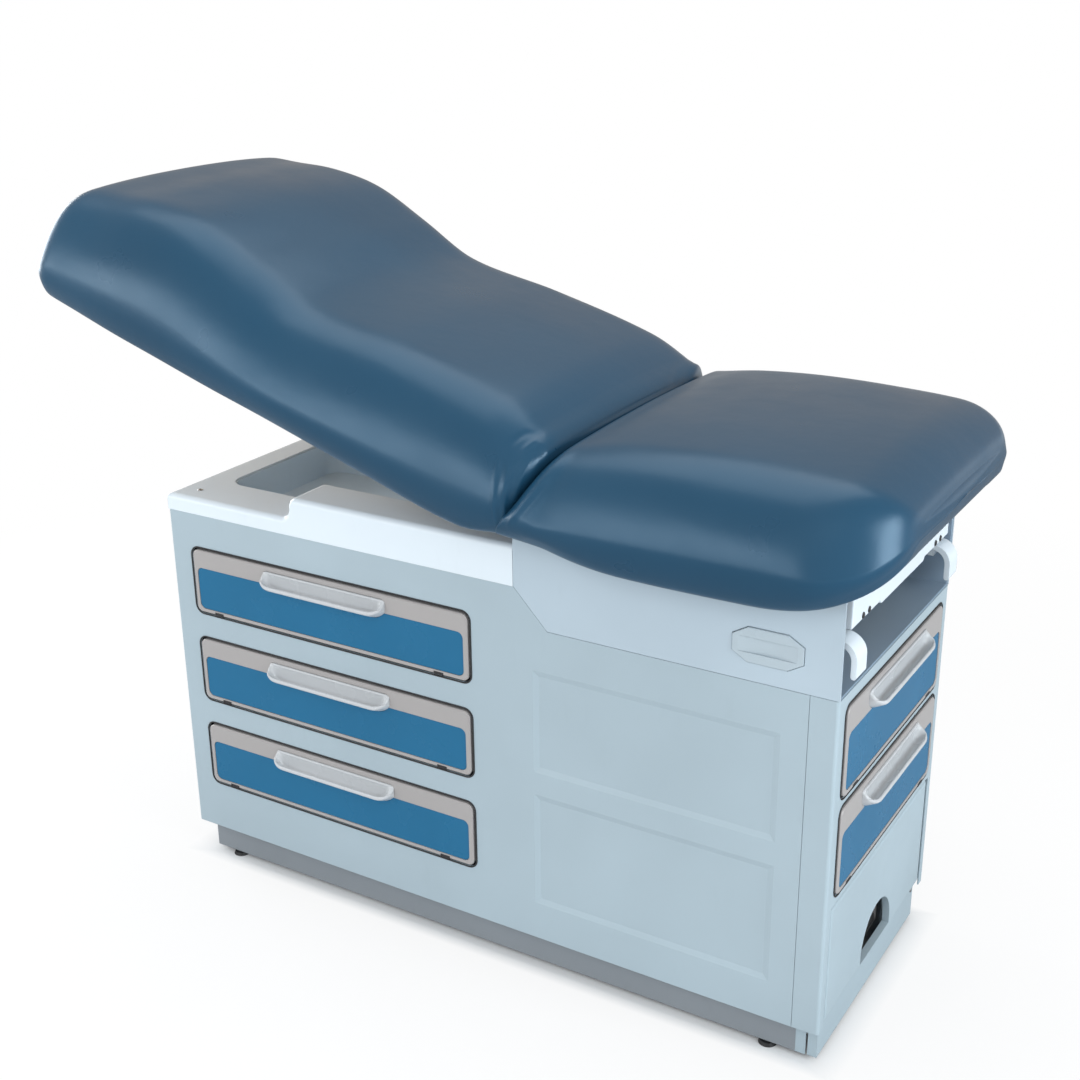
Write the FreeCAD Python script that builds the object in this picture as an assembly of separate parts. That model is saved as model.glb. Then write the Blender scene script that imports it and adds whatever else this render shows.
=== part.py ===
"""Gynecological examination table: drawer cabinet, hinged back, leg rest, stirrups and pull-out step.

Millimetres.  The table is drawn with x = 0 at the cabinet's head face, +X towards the foot end,
y = 0 on the centre line (the side drawers are on the -Y side) and z = 0 on the floor.  At the end
every piece is moved so that the origin is the middle of the footprint of the whole table.
"""
import FreeCAD, Part
import math
import os

# Cabinet
cab_length = 1143.0
cab_width = 448.0
body_top = 638.0            # steel body under the moulded head cover
fascia_top = 580.0          # steel body under the foot-end covers
plinth_top = 63.0
plinth_setback = 20.0
floor_gap = 8.0
sheet = 2.0                 # folded steel sheet
bend_radius = 5.0
hem = 18.0                  # how far a folded edge returns
seam = 0.6                  # open joint between two skins
front_return = 40.0         # front frame wrapped round the corners
bulkhead_x = 590.0          # divider between the side drawers and the foot-end bay
press_depth = 3.0           # stiffening panels pressed into the sides
press_slope = 9.0
press_rear_gap = 95.0       # from the bulkhead
press_front_gap = 78.0
press_levels = ((125.0, 313.0), (350.0, 515.0))

# Levelling feet
foot_pad_radius = 14.0
foot_pad_height = 5.0
foot_pad_taper = 2.0
foot_nut_radius = 8.0
foot_stud_radius = 4.0
foot_stud_length = 34.0
foot_inset = 9.0            # stud behind the plinth face
foot_end_gap = 45.0         # stud from the plinth's ends
stud_clear = 0.5

# Moulded covers
seat_bottom = 718.0
cover_wall = 3.0
cover_end = 655.0           # end of the head cover, where the side covers begin
cover_slant_end = 710.0     # foot of the slanted joint
rim_top = 665.0
rail_top = 700.0
rise_start = 233.0
rise_end = 265.0
rail_inner = 146.0
cover_round = 9.0
well_start = 52.0
well_end = 540.0
well_half = 138.0
well_corner = 32.0
well_floor = 604.0
well_lip = 9.0
well_gap = 0.4
mechanism_start = 560.0     # opening in the head cover for the gas spring
cap_front_gap = 101.0       # cap's middle from the foot end
cap_rise = 52.0
cap_length = 100.0
cap_height = 50.0
cap_corner = 22.0
cap_gap = 0.8
cap_proud = 2.0
cap_chamfer = 0.8
cap_hollow_end = 8.0        # finger hollow from the cap's ends
cap_hollow_half = 11.0
cap_hollow_depth = 3.0

# Seat, hinge and foot-end slot
liner_start = 668.0
rail_width = 20.0
rail_height = 28.0
rail_end_gap = 24.0         # rails stop behind the leg rest's beam
cross_size = 25.0
hinge_x = 686.0
hinge_z = 803.0
hinge_y = 170.0
ear_wall = 6.0
ear_radius = 14.0
pin_radius = 6.0
pin_head_radius = 9.0
pin_head = 3.0
run_gap = 0.05              # radial running clearance on pins
side_gap = 0.4              # clearance between faces that slide past each other
board = 15.0
board_corner = 60.0
cushion_steps = 2           # sections between two stations of a cushion
cushion_swell = 4.0
cushion_bulge = 0.22
seat_board_start = 845.0
seat_board_inset = 95.0
seat_board_half = 262.0
notch_x = 832.0             # the seat's underside rises from here to the crease
seat_rear = 735.5
seat_overhang = 87.0
cushion_half = 298.0
seat_rear_stations = (0.0, 14.0, 96.5, 246.5)
seat_front_stations = (95.0, 40.0, 12.0, 0.0)
seat_insets = (18.0, 4.5, 0.0, 0.0, 2.0, 28.0, 66.0, 104.0)
seat_lows = (0.0, 4.0, 20.0, 40.0, 56.0)
seat_shoulders = (70.0, 66.0, 71.0, 71.0, 71.0, 70.0, 66.0, 63.0)
seat_edges = (-22.0, -1.0, 12.0, 15.0, 9.0, -5.0, -31.0, -56.0)
seat_crowns = (-14.0, 6.0, 19.0, 22.0, 16.0, 1.0, -26.0, -52.0)
seat_rolls = (40.0, 56.0, 60.0, 60.0, 60.0, 54.0, 44.0, 34.0)
seat_rear_lift = 10.0       # underside at the crease above the seat's underside

# Back section, drawn flat with the hinge at the origin
back_angle = 15.0
back_length = 880.0
knuckle = 48.0              # rounded lower end, concentric with the hinge
knuckle_roll = 30.0
knuckle_swell = 7.0
ear_foot = 40.0             # hinge ear along its tube
back_tube = 25.0
back_tube_wall = 2.0
back_tube_start = 32.0
back_tube_end = 560.0
back_board_start = 88.0
back_board_end = 850.0
back_board_half = 262.0
skirt_half = 206.0          # the cover's lower edges hang outside this, beside the frame
back_stations = (0.0, 70.0, 250.0, 420.0, 530.0, 630.0, 720.0, 800.0)
back_head_stations = (44.0, 18.0, 5.0, 0.0)
back_insets = (4.5, 1.5, 2.0, 2.0, 1.5, 1.0, 1.0, 2.0, 2.5, 5.0, 15.0, 30.0)
back_lows = (-20.0, -38.0, -31.0, -22.5, -18.0, -12.0, -8.0, -2.5, 0.0, 2.0, 8.0, 16.0)
back_shoulders = (14.0, 4.0, 2.0, 8.0, 26.0, 44.0, 46.0, 42.0, 40.0, 36.0, 27.0, 14.0)
back_edges = (-3.0, 15.0, 24.0, 28.0, 61.0, 85.0, 83.0, 69.0, 60.0, 49.0, 32.0, 10.0)
back_crowns = (0.0, 21.0, 30.0, 34.0, 67.0, 91.0, 89.0, 75.0, 66.0, 55.0, 38.0, 16.0)
back_rolls = (40.0, 58.0, 62.0, 62.0, 60.0, 58.0, 58.0, 58.0, 57.0, 56.0, 52.0, 46.0)
slot_half = 13.0            # slots in the cushion for the hinge ears
slot_skin = 22.0

# Gas spring
anchor_x = 655.0
anchor_z = 300.0
crank = 110.0               # hinge to the rod's pivot
crank_drop = 34.0           # degrees below the flat back
cylinder_radius = 14.0
cylinder_length = 330.0
cylinder_wall = 2.0
spring_rod_radius = 5.0
spring_rod_length = 395.0
eye_radius = 11.0
eye_half = 7.0
spring_pin_radius = 4.0
tongue_half = 4.0
fork_wall = 5.0
fork_gap = 1.0
rivet_head = 2.0
eye_neck = 4.0
cylinder_base = 8.0
cylinder_guide = 14.0
bracket_half = 30.0
bracket_plate = 3.0
bracket_cheek = 4.0
bracket_pin = 3.0
bracket_margin = 2.0

# Release lever
lever_pivot = 775.0
lever_drop = 14.0           # pivot under the board
lever_length = 92.0
lever_half = 45.0
lever_wall = 4.0
lever_barrel = 4.0
lever_corner = 12.0
lever_lip_end = 14.0
lever_cheek = 3.0
lever_cheek_half = 10.0
lever_foot = 16.0

# Drawers
side_open_start = 43.0
side_open_width = 536.0
side_open_height = 114.0
side_open_bottoms = (151.0, 309.0, 467.0)
front_open_width = 398.0
front_open_height = 139.0
front_open_bottoms = (272.0, 423.0)
open_corner = 14.0
drawer_gap = 3.0
bezel_depth = 18.0
bezel_proud = 3.0
bezel_chamfer = 1.6
inset_side = 8.0
inset_foot = 7.0
inset_share = 0.62          # blue panel's height as a share of the drawer front
inset_depth = 4.0
inset_gap = 0.4
side_box_depth = 330.0
front_box_rear_gap = 138.0  # foot-end drawer box to the bulkhead
box_inset = 17.0            # drawer box inside the opening, each side
box_rise = 14.0             # box floor above the opening's lower edge
box_wall = 2.0
handle_length = 236.0
handle_height = 33.0
handle_depth = 21.0
handle_wall = 3.5
handle_brow = 3.0           # upper rim before the drawer front
handle_slope = 18.0         # fall of the mouth from the upper rim to the lip
handle_round = 2.0
handle_under = 9.0          # rise of the underside from the drawer front to the lip
handle_floor = 4.5
handle_drop = 8.0           # handle top under the drawer front's top
handle_corner = 8.0
handle_end = 17.0           # straight part of the ends
handle_bend = 14.0
handle_taper = 14.0         # end of the keel from the handle's end
handle_keel_bend = 20.0
handle_seat = 1.0
runner_wall = 2.0
runner_reach = 12.0
runner_guide = 14.0
runner_tab = 10.0           # overlap on the panel beside the opening
glide_gap = 0.3

# Leg rest
leg_start = 742.0
leg_board = 8.0
leg_board_half = 194.0
leg_guide_drop = 12.0       # guide lips under the rails
leg_guide_reach = 18.0
leg_stop = 2.0
leg_pad_inset = 5.0
leg_pad = 22.0
leg_pad_round = 7.0
leg_pad_gap = 1.0
beam_wall = 15.0
beam_top = 712.0
beam_bottom = 670.0
beam_half = 196.0
beam_lip_half = 85.0
beam_lip = 5.0
beam_round = 2.5
grip_wall = 5.0
grip_end = 6.0

# Stirrups
stirrup_y = 190.0
stirrup_rise = 68.0
sleeve_size = 26.0
sleeve_wall = 2.6
sleeve_start = 700.0
sleeve_front_gap = 31.0
tab_length = 30.0
tab_half = 8.0
tab_rear = 50.0
tab_front = 90.0
arm_gap = 0.3
arm_start = 712.0
arm_end = 8.0               # bar beyond its sleeve
cup_reach = 9.0
cup_radius = 23.5
cup_wall = 8.0
cup_half = 18.0
cup_tail = 20.0

# Step
step_half = 203.0
step_top = 257.0
step_side_gap = 3.0
step_front_wall = 22.0
step_face = 8.0             # raised panel stands this far before the lower band
step_band_top = 72.0
step_panel_round = 12.0
step_shell = 3.0
step_rib = 4.0
step_rib_places = (90.0, 150.0)
arch_half = 62.0
arch_bottom = 78.0
arch_side = 11.0
step_box_half = 168.0
step_box_top = 240.0
step_box_length = 320.0
step_box_bottom = 14.0
step_box_wall = 2.5
step_rail_z = 120.0
step_rail = 14.0
mat_height = 4.0
mat_inset = 12.0
mat_rib_pitch = 16.0

half = cab_width / 2.0
inside = half - sheet
plinth_half = half - plinth_setback
frame_x = cab_length - front_return
press_left = bulkhead_x + press_rear_gap
front_box_depth = cab_length + bezel_proud - bezel_depth - bulkhead_x - front_box_rear_gap
press_right = cab_length - press_front_gap
cap_x = cab_length - cap_front_gap
cap_z = fascia_top + cap_rise
seat_front = cab_length + seat_overhang
seat_board_end = seat_front - seat_board_inset
sleeve_end = cab_length - sleeve_front_gap
stirrup_z = fascia_top + stirrup_rise
X_AXIS = FreeCAD.Vector(1, 0, 0)
Y_AXIS = FreeCAD.Vector(0, 1, 0)
Z_AXIS = FreeCAD.Vector(0, 0, 1)
ORIGIN = FreeCAD.Vector(0, 0, 0)


def vec(x, y, z):
    """Short name for a point or direction."""
    return FreeCAD.Vector(x, y, z)


def block(x0, x1, y0, y1, z0, z1):
    """Box between two corners."""
    return Part.makeBox(x1 - x0, y1 - y0, z1 - z0, vec(x0, y0, z0))


def rod(start, end, radius):
    """Round bar between two points."""
    return Part.makeCylinder(radius, (end - start).Length, start, end - start)


def prism(points, sweep):
    """Polygon through points in space, pushed along a vector."""
    return Part.Face(Part.makePolygon(points + points[:1])).extrude(sweep)


def side_prism(points, y0, y1):
    """Outline in the side view, pushed across the table."""
    return prism([vec(x, y0, z) for x, z in points], vec(0, y1 - y0, 0))


def runs_along(edge, axis):
    """Whether an edge is straight and parallel to an axis."""
    return isinstance(edge.Curve, Part.Line) and abs(edge.Curve.Direction.dot(axis)) > 0.999


def rounded(shape, axis, radius):
    """Round the straight edges that run along an axis."""
    return shape.makeFillet(radius, [e for e in shape.Edges if runs_along(e, axis)])


def mirrored(shape):
    """The same piece on the other side of the table."""
    return shape.mirror(ORIGIN, Y_AXIS)


def both_sides(shape):
    """A piece and its mirror image, as a group."""
    return Part.Compound([shape, mirrored(shape)])


def frustum(x0, x1, z0, z1, y0, y1, slope):
    """Block with slanted sides: full size at y0 and smaller at y1."""
    rings = []
    for y, inset in ((y0, 0.0), (y1, slope)):
        corners = [vec(x0 + inset, y, z0 + inset), vec(x1 - inset, y, z0 + inset),
                   vec(x1 - inset, y, z1 - inset), vec(x0 + inset, y, z1 - inset)]
        rings.append(Part.makePolygon(corners + corners[:1]))
    return Part.makeLoft(rings, True, True)


def cushion_section(x, width, bottom, shoulder, edge, crown, roll):
    """Cross section of a cushion: flat under, swelling sides, rolled shoulders and a crowned top."""
    foot = vec(x, width - 2.0 * cushion_swell, bottom)
    side = vec(x, width, (bottom + shoulder) / 2.0)
    start = vec(x, width - cushion_swell, shoulder)
    end = vec(x, width - cushion_swell - roll, edge)
    chord = end - start
    bulge = vec(0, chord.z, -chord.y) * cushion_bulge
    bend = (start + end) * 0.5 + bulge
    right = [foot, side, start, bend, end]
    left = [vec(p.x, -p.y, p.z) for p in right]
    edges = [Part.LineSegment(left[0], right[0]).toShape(),
             Part.Arc(right[0], right[1], right[2]).toShape(),
             Part.Arc(right[2], right[3], right[4]).toShape(),
             Part.Arc(right[4], vec(x, 0, crown), left[4]).toShape(),
             Part.Arc(left[4], left[3], left[2]).toShape(),
             Part.Arc(left[2], left[1], left[0]).toShape()]
    return Part.Wire(edges)


def smooth_value(places, values, place):
    """Value at a place on a smooth curve through values at given places."""
    k = max(i for i in range(len(places) - 1) if places[i] <= place)
    slopes = []
    for i in (k, k + 1):
        a = max(i - 1, 0)
        b = min(i + 1, len(places) - 1)
        slopes.append((values[b] - values[a]) / (places[b] - places[a]))
    span = places[k + 1] - places[k]
    t = (place - places[k]) / span
    start = (1.0 + 2.0 * t) * (1.0 - t) ** 2 * values[k] + t * (1.0 - t) ** 2 * span * slopes[0]
    end = t * t * (3.0 - 2.0 * t) * values[k + 1] + t * t * (t - 1.0) * span * slopes[1]
    return start + end


def cushion_body(stations, columns, along, base, top):
    """Loft of cushion sections at fine steps between the stations."""
    places = []
    for a, b in zip(stations, stations[1:]):
        places += [a + (b - a) * k / cushion_steps for k in range(cushion_steps)]
    places.append(stations[-1])
    rings = []
    for place in places:
        inset, low, shoulder, edge, crown, roll = [smooth_value(stations, c, place) for c in columns]
        rings.append(cushion_section(along(place), cushion_half - inset, base + low, shoulder,
                                     top + edge, top + crown, roll))
    return Part.makeLoft(rings, True, True)


# Plinth, feet and folded steel body

def make_plinth():
    """Folded channel round three sides, open at the foot end for the step."""
    x0 = plinth_setback
    body = block(x0, frame_x, -plinth_half, plinth_half, floor_gap, plinth_top)
    cavity = block(x0 + sheet, frame_x + sheet, -plinth_half + sheet, plinth_half - sheet,
                   floor_gap + sheet, plinth_top - sheet)
    middle = block(x0 + hem, frame_x + sheet, -plinth_half + hem, plinth_half - hem, floor_gap, plinth_top)
    body = body.cut(cavity).cut(middle)
    for x, y in foot_places():
        reach = foot_stud_radius + stud_clear
        body = body.cut(block(x - reach, x + reach, y - reach, y + reach, floor_gap, floor_gap + sheet))
    return body


def foot_places():
    """Plan positions of the four levelling feet."""
    places = []
    for x in (plinth_setback + foot_end_gap, frame_x - foot_end_gap):
        for y in (-1, 1):
            places.append((x, y * (plinth_half - foot_inset)))
    return places


def make_feet():
    """Black pads with a nut and a stud that goes up through the plinth's flange."""
    feet = []
    for x, y in foot_places():
        top = vec(x, y, foot_pad_height)
        pad = Part.makeCone(foot_pad_radius, foot_pad_radius - foot_pad_taper, foot_pad_height, vec(x, y, 0))
        turns = [math.radians(60 * k) for k in range(6)]
        nut_ring = [top + vec(math.cos(t), math.sin(t), 0) * foot_nut_radius for t in turns]
        nut = prism(nut_ring, vec(0, 0, floor_gap - foot_pad_height))
        stud = rod(top, top + vec(0, 0, foot_stud_length), foot_stud_radius)
        feet.append(pad.fuse([nut, stud]).removeSplitter())
    return Part.Compound(feet)


def side_sheet():
    """Near side skin: wrapped round the head corner, hemmed below and above, with two pressings."""
    outer = block(0, frame_x - seam, -half, -half + hem, plinth_top, body_top)
    edge = [e for e in outer.Edges if abs(e.BoundBox.XMax) < 0.01 and abs(e.BoundBox.YMax + half) < 0.01]
    outer = outer.makeFillet(bend_radius, edge)
    inner = block(sheet, cab_length, -half + sheet, 0, plinth_top + sheet, body_top - sheet)
    skin = outer.cut(inner)
    away = [(cover_end, body_top + sheet), (cover_end, body_top), (cover_slant_end, fascia_top),
            (cab_length, fascia_top), (cab_length, body_top + sheet)]
    skin = skin.cut(side_prism(away, -half - sheet, 0))
    top_hem = block(cover_slant_end, frame_x - seam, -inside, -half + hem, fascia_top - sheet, fascia_top)
    skin = skin.fuse(top_hem)
    for low, high in press_levels:
        back = frustum(press_left, press_right, low, high, -inside, -inside + press_depth, press_slope)
        face = frustum(press_left, press_right, low, high, -half, -half + press_depth, press_slope)
        skin = skin.fuse(back).cut(face)
    return skin.removeSplitter()


def make_near_side():
    """Near side skin with the three drawer openings."""
    skin = side_sheet()
    for low in side_open_bottoms:
        hole = block(side_open_start, side_open_start + side_open_width, -half - sheet, -half + hem,
                     low, low + side_open_height)
        skin = skin.cut(rounded(hole, Y_AXIS, open_corner))
    return skin


def make_head_panel():
    """Head-end skin between the two wrapped corners."""
    reach = half - hem - seam
    skin = block(0, hem, -reach, reach, plinth_top, body_top)
    return skin.cut(block(sheet, hem + sheet, -reach, reach, plinth_top + sheet, body_top - sheet))


def make_floor():
    """Cabinet floor on the folded lower edges, under the side drawers."""
    low = plinth_top + sheet
    return block(sheet, bulkhead_x, -inside, inside, low, low + sheet)


def make_bulkhead():
    """Divider with flanges, standing on the plinth's folded edges."""
    low = plinth_top + sheet
    body = block(bulkhead_x, bulkhead_x + hem, -inside, inside, low, fascia_top)
    room = block(bulkhead_x + sheet, bulkhead_x + 2.0 * hem, -inside + sheet, inside - sheet, low, fascia_top)
    return body.cut(room)


def make_front_frame():
    """Foot-end fascia folded round both corners, with two drawer openings and the step's doorway."""
    front = block(frame_x, cab_length, -half, half, plinth_top, fascia_top)
    corners = [e for e in front.Edges if runs_along(e, Z_AXIS) and e.BoundBox.XMin > cab_length - 0.01]
    front = front.makeFillet(bend_radius, corners)
    room = block(0, cab_length - sheet, -inside, inside, 0, fascia_top - sheet)
    front = front.cut(room)
    for low in front_open_bottoms:
        hole = block(cab_length - hem, cab_length + sheet, -front_open_width / 2.0, front_open_width / 2.0,
                     low, low + front_open_height)
        front = front.cut(rounded(hole, X_AXIS, open_corner))
    doorway = step_half + step_side_gap
    front = front.cut(block(frame_x - sheet, cab_length + sheet, -doorway, doorway,
                            0, step_top + step_side_gap))
    corner_end = cab_length - step_front_wall - step_side_gap
    ledge = block(frame_x, corner_end, plinth_half - sheet, inside, plinth_top, plinth_top + sheet)
    skirt = block(frame_x, corner_end, plinth_half - sheet, plinth_half, floor_gap, plinth_top + sheet)
    corner = skirt.fuse(ledge)
    return front.fuse([corner, mirrored(corner)]).removeSplitter()


# Moulded covers and well

def rise_outline(drop):
    """Side view of the head cover's top: low rim, S-shaped rise, raised rail."""
    low = vec(rise_start, 0, rim_top - drop)
    high = vec(rise_end, 0, rail_top - drop)
    middle = (low + high) * 0.5
    chord = middle - low
    sag = vec(chord.z, 0, -chord.x) * (0.5 * math.tan(math.atan2(chord.z, chord.x) / 2.0))
    return low, (low + middle) * 0.5 + sag, middle, (middle + high) * 0.5 - sag, high


def head_cover_body(start, end, width, base, drop):
    """Solid under the cover's stepped top."""
    low, low_mid, middle, high_mid, high = rise_outline(drop)
    edges = [Part.LineSegment(vec(start, 0, base), vec(start, 0, low.z)).toShape(),
             Part.LineSegment(vec(start, 0, low.z), low).toShape(),
             Part.Arc(low, low_mid, middle).toShape(),
             Part.Arc(middle, high_mid, high).toShape(),
             Part.LineSegment(high, vec(end, 0, high.z)).toShape(),
             Part.LineSegment(vec(end, 0, high.z), vec(end, 0, base)).toShape(),
             Part.LineSegment(vec(end, 0, base), vec(start, 0, base)).toShape()]
    face = Part.Face(Part.Wire(edges))
    face.translate(vec(0, -width, 0))
    return face.extrude(vec(0, 2.0 * width, 0))


def well_block(grow, low, high):
    """Rounded block of the well's plan."""
    body = block(well_start - grow, well_end + grow, -well_half - grow, well_half + grow, low, high)
    return rounded(body, Z_AXIS, well_corner + grow)


def make_head_cover():
    """White moulding on the head half: low rim, raised side rails, openings for well and mechanism."""
    end = cover_end - seam
    cover = head_cover_body(0, end, half, body_top, 0)
    rim = [e for e in cover.Edges if e.BoundBox.ZMin > body_top + 1.0 and abs(e.BoundBox.YMin) > half - 1.0
           and e.BoundBox.YLength < 1.0]
    head_edge = [e for e in cover.Edges if e.BoundBox.XMax < 0.01 and e.BoundBox.ZMin > body_top + 1.0]
    cover = cover.makeFillet(cover_round, rim + head_edge)
    trough = block(rise_start, cover_end, -rail_inner, rail_inner, rim_top, rail_top + sheet)
    cover = cover.cut(trough)
    inner_half = half - cover_wall
    hollow = head_cover_body(cover_wall, end - cover_wall, inner_half, body_top, cover_wall)
    bridge = block(0, cover_end, -rail_inner - cover_wall, rail_inner + cover_wall,
                   rim_top - cover_wall, rail_top)
    cover = cover.cut(hollow.cut(bridge))
    cover = cover.cut(well_block(well_gap, 0, rail_top))
    reach = rail_inner - cover_wall
    opening = block(mechanism_start, cover_end, -reach, reach, 0, rail_top)
    return cover.cut(opening).removeSplitter()


def make_well():
    """Grey tray hung under the head cover by its lip."""
    lip_top = rim_top - cover_wall
    tray = well_block(0, well_floor, lip_top)
    lip = well_block(well_lip, lip_top - sheet, lip_top)
    inside_cut = well_block(-sheet, well_floor + sheet, rail_top)
    return tray.fuse(lip).cut(inside_cut).removeSplitter()


def cap_outline(grow, y):
    """Long octagon of the snap-in cap."""
    a = cap_length / 2.0 + grow
    b = cap_height / 2.0 + grow
    c = cap_corner + 0.5 * grow
    ring = [(-a + c, -b), (a - c, -b), (a, -b + 0.6 * c), (a, b - 0.6 * c),
            (a - c, b), (-a + c, b), (-a, b - 0.6 * c), (-a, -b + 0.6 * c)]
    return [vec(cap_x + u, y, cap_z + w) for u, w in ring]


def make_side_cover():
    """Upper side skin at the foot half, with the hole for its cap."""
    rear = cover_end
    ring = [(rear, seat_bottom), (rear, body_top + seam), (cover_slant_end, fascia_top + seam),
            (cab_length, fascia_top + seam), (cab_length, seat_bottom)]
    skin = side_prism(ring, -half, -half + cover_wall)
    return skin.cut(prism(cap_outline(cap_gap, -half - 1.0), vec(0, cover_wall + 2.0, 0)))


def make_cap():
    """Snap-in cap with a shallow boat-shaped finger hollow."""
    face = -half - cap_proud
    cap = prism(cap_outline(0, face), vec(0, cover_wall + cap_proud, 0))
    cap = cap.makeChamfer(cap_chamfer, [e for e in cap.Edges if e.BoundBox.YMax < face + 0.01])
    reach = vec(cap_length / 2.0 - cap_hollow_end, 0, 0)
    centre = vec(cap_x, face, cap_z - cap_hollow_half)
    arc = Part.Arc(centre - reach, centre + vec(0, cap_hollow_depth, 0), centre + reach).toShape()
    chord = Part.LineSegment(centre + reach, centre - reach).toShape()
    hollow = Part.Face(Part.Wire([arc, chord])).extrude(vec(0, 0, 2.0 * cap_hollow_half))
    return cap.cut(hollow)


# Seat and foot-end slot

def make_slot_liner():
    """Grey folded trough behind the foot-end slot."""
    low = fascia_top
    wall = half - cover_wall
    body = block(liner_start, cab_length - sheet, -wall, wall, low, seat_bottom)
    room = block(liner_start + sheet, cab_length, -wall + sheet, wall - sheet,
                 low + sheet, seat_bottom + sheet)
    trough = body.cut(room)
    window = block(liner_start, liner_start + sheet, -wall, wall, seat_bottom - rail_height, seat_bottom)
    return trough.cut(window)


def square_tube_x(x0, x1, y0, y1, z0, z1, wall):
    """Rectangular tube along the table."""
    return block(x0, x1, y0, y1, z0, z1).cut(block(x0, x1, y0 + wall, y1 - wall, z0 + wall, z1 - wall))


def make_seat_frame():
    """Welded seat frame: side rails with guide lips, a rear cross tube and two hinge ears."""
    wall = half - cover_wall - sheet
    low = seat_bottom - rail_height
    cross_x = hinge_x - cross_size / 2.0
    rail_side = wall - rail_width
    rail_end = cab_length - rail_end_gap
    rail = square_tube_x(cross_x + cross_size, rail_end, rail_side, wall, low, seat_bottom, sheet)
    guide_low = low - leg_guide_drop
    guide = block(leg_start, rail_end, rail_side - sheet, rail_side, guide_low, low + sheet)
    lip = block(leg_start, rail_end, rail_side - leg_guide_reach, rail_side, guide_low, guide_low + sheet)
    web = block(leg_start, rail_end, rail_side - sheet, rail_side + sheet, low, low + sheet)
    cross = block(cross_x, cross_x + cross_size, -wall, wall, low, low + cross_size)
    cross = cross.cut(block(cross_x + sheet, cross_x + cross_size - sheet, -wall, wall,
                            low + sheet, low + cross_size - sheet))
    inner = hinge_y + ear_wall / 2.0 + side_gap
    post = block(hinge_x - ear_radius, hinge_x + ear_radius, inner, inner + ear_wall,
                 low + cross_size, hinge_z)
    eye = rod(vec(hinge_x, inner, hinge_z), vec(hinge_x, inner + ear_wall, hinge_z), ear_radius)
    bore = rod(vec(hinge_x, 0, hinge_z), vec(hinge_x, half, hinge_z), pin_radius)
    post = post.fuse(eye).cut(bore)
    halves = []
    for piece in (rail, guide, lip, web, post):
        halves += [piece, mirrored(piece)]
    return cross.fuse(halves).removeSplitter()


def make_hinge_pins():
    """Headed pins pressed into the seat frame's ears, on which the back turns."""
    inner = hinge_y - ear_wall / 2.0
    outer = hinge_y + ear_wall * 1.5 + side_gap
    pin = rod(vec(hinge_x, inner - side_gap, hinge_z), vec(hinge_x, outer, hinge_z), pin_radius)
    head = rod(vec(hinge_x, inner - side_gap - pin_head, hinge_z), vec(hinge_x, inner - side_gap, hinge_z),
               pin_head_radius)
    return both_sides(pin.fuse(head))


def make_seat_board():
    """Plywood under the seat cushion, with rounded front corners."""
    body = block(seat_board_start, seat_board_end, -seat_board_half, seat_board_half,
                 seat_bottom, seat_bottom + board)
    front = [e for e in body.Edges if runs_along(e, Z_AXIS) and e.BoundBox.XMin > seat_board_end - 1.0]
    return body.makeFillet(board_corner, front)


def make_seat_cushion():
    """Crowned seat cushion whose rear underside rises to the crease."""
    length = seat_front - seat_rear
    stations = seat_rear_stations + tuple(length - gap for gap in seat_front_stations)
    rise = seat_rear_lift / (notch_x - seat_rear)
    lifts = tuple(max(0.0, rise * (notch_x - seat_rear - s)) for s in seat_rear_stations[:3])
    shoulders = tuple(seat_bottom + h for h in seat_shoulders)
    columns = (seat_insets, lifts + seat_lows, shoulders, seat_edges, seat_crowns, seat_rolls)
    cushion = cushion_body(stations, columns, lambda s: seat_rear + s, seat_bottom, hinge_z + knuckle)
    cushion = cushion.cut(block(0, 2.0 * cab_length, -cab_width, cab_width, 0, seat_bottom))
    pocket = block(seat_board_start, seat_board_end, -seat_board_half, seat_board_half,
                   seat_bottom - board, seat_bottom + board)
    return cushion.cut(pocket)


# Back section, flat with the hinge at the origin, then raised to its resting angle

def raised(shape):
    """Turn a piece of the back to its resting angle and carry it to the hinge."""
    turned = shape.copy()
    turned.rotate(ORIGIN, Y_AXIS, back_angle)
    turned.translate(vec(hinge_x, 0, hinge_z))
    return turned


def make_back_board():
    """Plywood under the back cushion."""
    body = block(-back_board_end, -back_board_start, -back_board_half, back_board_half,
                 -knuckle, -knuckle + board)
    head = [e for e in body.Edges if runs_along(e, Z_AXIS) and e.BoundBox.XMax < 1.0 - back_board_end]
    return raised(body.makeFillet(board_corner, head))


def make_back_cushion():
    """Crowned back cushion with a raised pillow, a rounded end about the hinge and hanging lower edges."""
    low = -knuckle
    stations = back_stations + tuple(back_length - gap for gap in back_head_stations)
    columns = (back_insets, back_lows, back_shoulders, back_edges, back_crowns, back_rolls)
    cushion = cushion_body(stations, columns, lambda s: -s, low, knuckle)
    reach = cushion_half - back_insets[0]
    right = [vec(0, reach, 0), vec(0, reach - knuckle_swell, 0.72 * knuckle),
             vec(0, reach - knuckle_roll, knuckle)]
    left = [vec(0, -p.y, p.z) for p in right]
    profile = Part.makePolygon(right + left[::-1] + right[:1])
    end_roll = Part.Face(profile).revolve(ORIGIN, Y_AXIS, 180)
    cushion = cushion.fuse(end_roll)
    cushion = cushion.cut(block(-2.0 * back_length, 2.0 * knuckle, -skirt_half, skirt_half,
                                -4.0 * knuckle, low))
    for side in (-1, 1):
        y = side * (hinge_y + ear_wall / 2.0)
        cushion = cushion.cut(block(-back_board_start, 2.0 * knuckle, y - slot_half, y + slot_half,
                                    -2.0 * knuckle, slot_skin))
    pocket = block(-back_board_end, -back_board_start, -back_board_half, back_board_half,
                   -knuckle, -knuckle + board)
    return raised(cushion.cut(pocket))


def crank_point():
    """Rod pivot on the flat back."""
    drop = math.radians(crank_drop)
    return vec(-crank * math.cos(drop), 0, -crank * math.sin(drop))


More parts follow.
